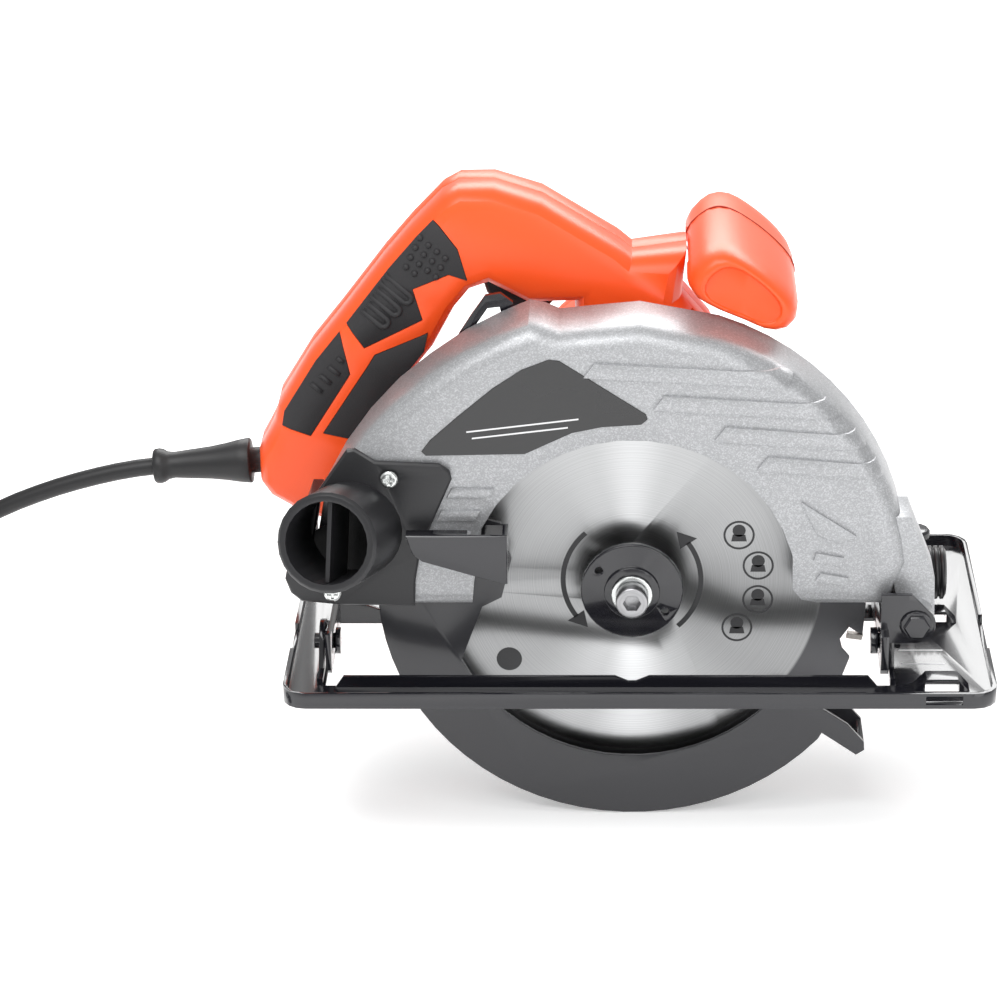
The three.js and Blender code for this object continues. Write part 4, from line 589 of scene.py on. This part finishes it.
def make_strain_relief():
    """The boot round the lead: a smooth tapered sleeve with a flared ring at its tip."""
    root, tip = np.array([-144.5, HANDLE_Y, 28.0]), np.array([-189, HANDLE_Y, 25.0])
    length = float(np.linalg.norm(tip - root))
    profile = [(-10, 3.5), (-10, 7), (-3, 7), (-3, 5.1), (6, 5.1), (6, 8.6), (6.6, 9.0), (11, 8.4),
               (16, 7.4), (22, 6.5), (30, 5.8), (length - 8, 5.2), (length - 5.5, 5.6),
               (length - 4, 6.6), (length - 2.4, 7.0), (length - 0.6, 6.8), (length, 6.2),
               (length, 3.7), (-10, 3.5)]
    boot = turned("strain_relief_boot", profile, root, tip - root, CORD_RUBBER, "saw", 40)
    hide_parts("strain_relief")
    return boot


# ---------------------------------------------------------------- pieces on the CAD nodes
def finish_nodes():
    """Every node takes its slot's material, and its sharp edges a small round."""
    slots = {entry["node"]: entry["material_slot"] for entry in frame["record"]["subparts"]}
    rounds = {
        "upper_guard": 0.25, "lower_guard": 0.35, "handle_shell_near": 0.5,
        "handle_shell_far": 0.5, "sole_plate": 0.35, "dust_port": 0.3, "front_bracket": 0.3,
        "depth_bar": 0.25, "gear_housing": 0.6, "motor_housing": 0.4, "motor_end_cap": 0.5,
        "front_handle": 0.5, "trigger": 0.4, "mains_plug": 0.5, "guard_lever": 0.25,
        "outer_flange": 0.25, "depth_lock_lever": 0.4, "blade": 0.08,
    }
    for name, node in nodes.items():
        material = FINISHES[slots[name]]
        node.data.materials.clear()
        node.data.materials.append(material)
        soften_node(name, rounds.get(name, 0.2))


def tooth_tips():
    """A carbide tip on the leading face of each tooth: a small leaning block."""
    points, faces = [], []
    for i in range(TEETH):
        a = -i * 2 * math.pi / TEETH
        out = np.array([math.cos(a), 0, math.sin(a)])
        back = np.array([math.sin(a), 0, -math.cos(a)])
        for r, lead in ((92.6, 0.15), (86.6, 0.9)):
            for y in (-1.3, 1.3):
                for depth in (-0.6, 1.6):
                    points.append(at(*(out * r + back * (depth + lead) + np.array([0, y, 0]))))
        faces += [[i * 8 + corner for corner in face] for face in BOX_FACES]
    piece = finished(make_piece("tooth_tips", points, faces, CARBIDE, "blade_group", False))


def flat_print(name, outlines, y, material, body, thick=0.08):
    """Ink laid on a face: each outline is a thin closed plate standing a hair proud of it."""
    points, faces = [], []
    for outline in outlines:
        base, count = len(points), len(outline)
        points += [at(x, y - thick, z) for x, z in outline]
        points += [at(x, y + 0.02, z) for x, z in outline]
        faces.append([base + i for i in range(count)])
        faces.append([base + 2 * count - 1 - i for i in range(count)])
        faces += [[base + (i + 1) % count, base + i, base + i + count,
                   base + (i + 1) % count + count] for i in range(count)]
    return finished(make_piece(name, points, faces, material, body, smooth=False))


def arc_band(radius, start, stop, width, centre=(0, 0), count=24):
    """The outline of a curved strip about a centre."""
    outer = ring_points(radius + width / 2, start, stop, count)
    inner = ring_points(radius - width / 2, stop, start, count)
    return (np.concatenate([outer, inner]) + np.array(centre)).tolist()


def blade_print():
    """Two turning arrows beside the flange, and plain round symbols."""
    outlines = []
    for start in (-48, 132):
        outlines.append(arc_band(ARROW_R, start, start + 84, 1.9))
        tip = math.radians(start + 98)
        head = [(ARROW_R * math.cos(tip), ARROW_R * math.sin(tip))]
        for r in (ARROW_R - 3.9, ARROW_R + 3.9):
            a = math.radians(start + 83)
            head.append((r * math.cos(a), r * math.sin(a)))
        outlines.append(head)
    for x, z in ((41, 18.8), (48.5, 6), (48.5, -8.3), (40.6, -20.3)):
        outlines.append(arc_band(5.6, 0, 180, 0.8, (x, z), 20))
        outlines.append(arc_band(5.6, 180, 360, 0.8, (x, z), 20))
        outlines.append([(x - 3, z - 2.6), (x + 3, z - 2.6), (x + 2.4, z + 0.2), (x - 2.4, z + 0.2)])
        outlines.append(arc_band(1.3, 0, 359.9, 2.5, (x, z + 1.9), 16))
    outlines.append(arc_band(2.5, 0, 359.9, 4.9, (-47.7, -33.9), 24))
    flat_print("blade_print", outlines, BLADE_NEAR_Y, PRINT, "blade_group")


def guard_label():
    """A plain black plate on the guard's face, with two pale stripes."""
    outline = [(-79.1, 58.5), (-75.8, 63), (-66, 72), (-52, 84), (-41, 91.5), (-31, 95.5),
               (-27, 95), (5.2, 73.6), (5.9, 71.6), (3.5, 69.4), (-11.3, 68.4), (-22.5, 66),
               (-31.9, 61.5), (-40.2, 57.5), (-77.5, 56.8)]
    plate("guard_label", outline, PLATE_FRONT_Y, PLATE_BACK_Y, LABEL_BLACK, "saw", 0.2)
    stripes = [[(-62, 66.2), (-20, 71.4), (-20, 72.0), (-62, 66.8)],
               [(-60, 63.6), (-24, 68.0), (-24, 68.6), (-60, 64.2)]]
    flat_print("guard_label_stripes", stripes, PLATE_FRONT_Y, SIGHT_WHITE, "saw", 0.05)


def pad_surface(side):
    """Looks up how far out the pads of one side reach at a place in the handle's plane."""
    corners, faces = [], []
    for part in ("upper", "lower"):
        node = nodes[f"grip_pad_{part}_{side}"]
        base = len(corners)
        corners += [node.matrix_world @ v.co for v in node.data.vertices]
        faces += [[base + i for i in face.vertices] for face in node.data.polygons]
    tree = BVHTree.FromPolygons(corners, faces)
    start, way = (-200, 1) if side == "near" else (300, -1)

    def height(x, z):
        hit = tree.ray_cast(Vector(at(x, start, z)), Vector((0, way, 0)))[0]
        return None if hit is None else (hit[1] - at(0, 0, 0)[1]) / MM
    return height


def pad_details():
    """Dots and U-shaped ribs raised on the upper pads, and rib lines on the lower ones."""
    along, across = unit([-0.64, -0.77]), unit([0.77, -0.64])
    for side, out in (("near", -1), ("far", 1)):
        height = pad_surface(side)
        points, faces = [], []
        for i in range(14):
            row, column = divmod(i, 4)
            centre = np.array([-80.5, 126.5]) + along * row * 4.1 + across * (column * 4.1 + row)
            ring = np.radians(np.linspace(0, 360, 12, endpoint=False))
            y = height(*centre)
            if y is None:
                continue
            base = len(points)
            for r, h in ((1.3, -0.5), (1.2, 0.5), (0.7, 0.9)):
                points += [at(centre[0] + r * c, y + out * h, centre[1] + r * s)
                           for c, s in zip(np.cos(ring), np.sin(ring))]
            points.append(at(centre[0], y + out * 1.0, centre[1]))
            top = len(points) - 1
            for level in (0, 1):
                for j in range(12):
                    a, b = base + level * 12 + j, base + level * 12 + (j + 1) % 12
                    faces.append([a, b, b + 12, a + 12])
            faces += [[base + 24 + j, base + 24 + (j + 1) % 12, top] for j in range(12)]
        piece = finished(make_piece(f"pad_dots_{side}", points, faces, SOFT_GRIP, "saw"))
        for k in range(3):
            middle = np.array([-91.2, 106.5]) + along * k * 6.6
            arc = [middle + across * (-5.5 + k) - along * 1.9]
            arc += [middle + across * (6.5 - 0.4 * k + 1.9 * math.sin(t)) - along * 1.9 * math.cos(t)
                    for t in np.linspace(0, math.pi, 7)]
            arc.append(middle + across * (-5.5 + k) + along * 1.9)
            path = [(p[0], height(*p), p[1]) for p in arc]
            sweep(f"pad_rib_{side}_{k}", [p for p in path if p[1] is not None], 1.15,
                  SOFT_GRIP, "saw", sides=10)
        for k in range(4):
            start = np.array([-113.5, 78]) + along * 5 * k - across * (0.4 * k)
            path = [(*p, height(*p)) for p in (start, start + across * 3, start + across * 5.5)]
            sweep(f"pad_groove_{side}_{k}", [(p[0], p[2], p[1]) for p in path if p[2] is not None],
                  0.9, SOFT_GRIP, "saw", sides=8)


def ribbed_knob():
    """The bevel lock's hand knob: a profile with rounded ribs, turned about X."""
    profile = [(93.6, 0.0), (93.6, 3), (103, 3), (103, 7.6), (103.4, 8), (112.6, 8)]
    for i in range(5):
        x = 113 + i * 2.4
        profile += [(x, 9.9), (x + 0.4, 10.7), (x + 1.5, 10.7), (x + 1.9, 9.9), (x + 2.1, 9.5)]
    profile += [(125, 9.2), (125, 5.2), (124.2, 4.8), (124.2, 0.0)]
    centre = (0, QUADRANT_CENTRE[0] + KNOB_R * math.cos(KNOB_ANGLE),
              QUADRANT_CENTRE[1] + KNOB_R * math.sin(KNOB_ANGLE))
    knob = turned("bevel_knob_ribbed", profile, centre, (1, 0, 0), BLACK_PLASTIC, "bevel_knob", 48)
    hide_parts("bevel_lock_knob")


def port_details():
    """The wall that splits the dust port's mouth."""
    root, mouth = np.array([-105.5, -12.5, 27.0]), np.array([-112.4, -51.0, 38.0])
    along = unit(mouth - root)
    across, up = side_axes(along)
    centre = (root + mouth) / 2 + along * 6
    points = []
    for d in (-16, 11):
        for w in (-15.4, 15.4):
            for t in (-0.9, 0.9):
                points.append(at(*(centre + along * d + up * w + across * t)))
    piece = finished(make_piece("dust_port_wall", points, BOX_FACES, BLACK_PLASTIC, "saw", False))
    soften(piece, 0.4)


def handle_details():
    """The seam round the front grip, and the shell's screws on the handle's far side."""
    section = np.array([(27, 107), (21.5, 111.5), (20.8, 117), (24, 123), (31, 128), (38, 127.6),
                        (48, 121.5), (57, 113.5), (62, 107), (63.3, 101.5), (60.5, 97),
                        (54, 95.4), (42, 100.2)], float)
    ring = []
    for u in np.linspace(0, len(section), 104, endpoint=False):
        i = int(u)
        p0, p1, p2, p3 = (section[(i + k) % len(section)] for k in (-1, 0, 1, 2))
        s = u - i
        ring.append(0.5 * ((2 * p1) + (p2 - p0) * s + (2 * p0 - 5 * p1 + 4 * p2 - p3) * s * s
                    + (3 * p1 - p0 - 3 * p2 + p3) * s ** 3))
    sweep("front_grip_seam", [(p[0], FRONT_GRIP_SEAM_Y, p[1]) for p in ring], 0.35, ORANGE_SEAM,
          "saw", sides=6, closed=True)
    for k, (x, z) in enumerate(((-10, 108), (-128, 30))):
        turned(f"shell_screw_{k}", [(-1.0, 0), (-1.0, 3.0), (0.25, 3.0), (0.45, 2.6), (0.45, 1.4),
                                    (-0.4, 1.2), (-0.4, 0)],
               (x, HANDLE_FAR_Y, z), (0, 1, 0), ZINC, "saw", 32)


def sole_marks():
    """Pale sight lines on the sole's front."""
    for k, y in enumerate((-8.5, 3.5)):
        points = [at(x, yy, SOLE_TOP_Z + 0.06) for x, yy in
                  ((104, y - 0.5), (121, y - 0.5), (121, y + 0.5), (104, y + 0.5))]
        points += [p - np.array([0, 0, 0.0001]) for p in points]
        faces = [[0, 1, 2, 3], [7, 6, 5, 4], [1, 0, 4, 5], [2, 1, 5, 6], [3, 2, 6, 7], [0, 3, 7, 4]]
        finished(make_piece(f"sight_line_{k}", points, faces, SIGHT_WHITE, "sole", False))


make_camera()
make_studio()
make_cord()
finish_nodes()
tooth_tips()
blade_print()
guard_label()
pad_details()
ribbed_knob()
port_details()
handle_details()
sole_marks()
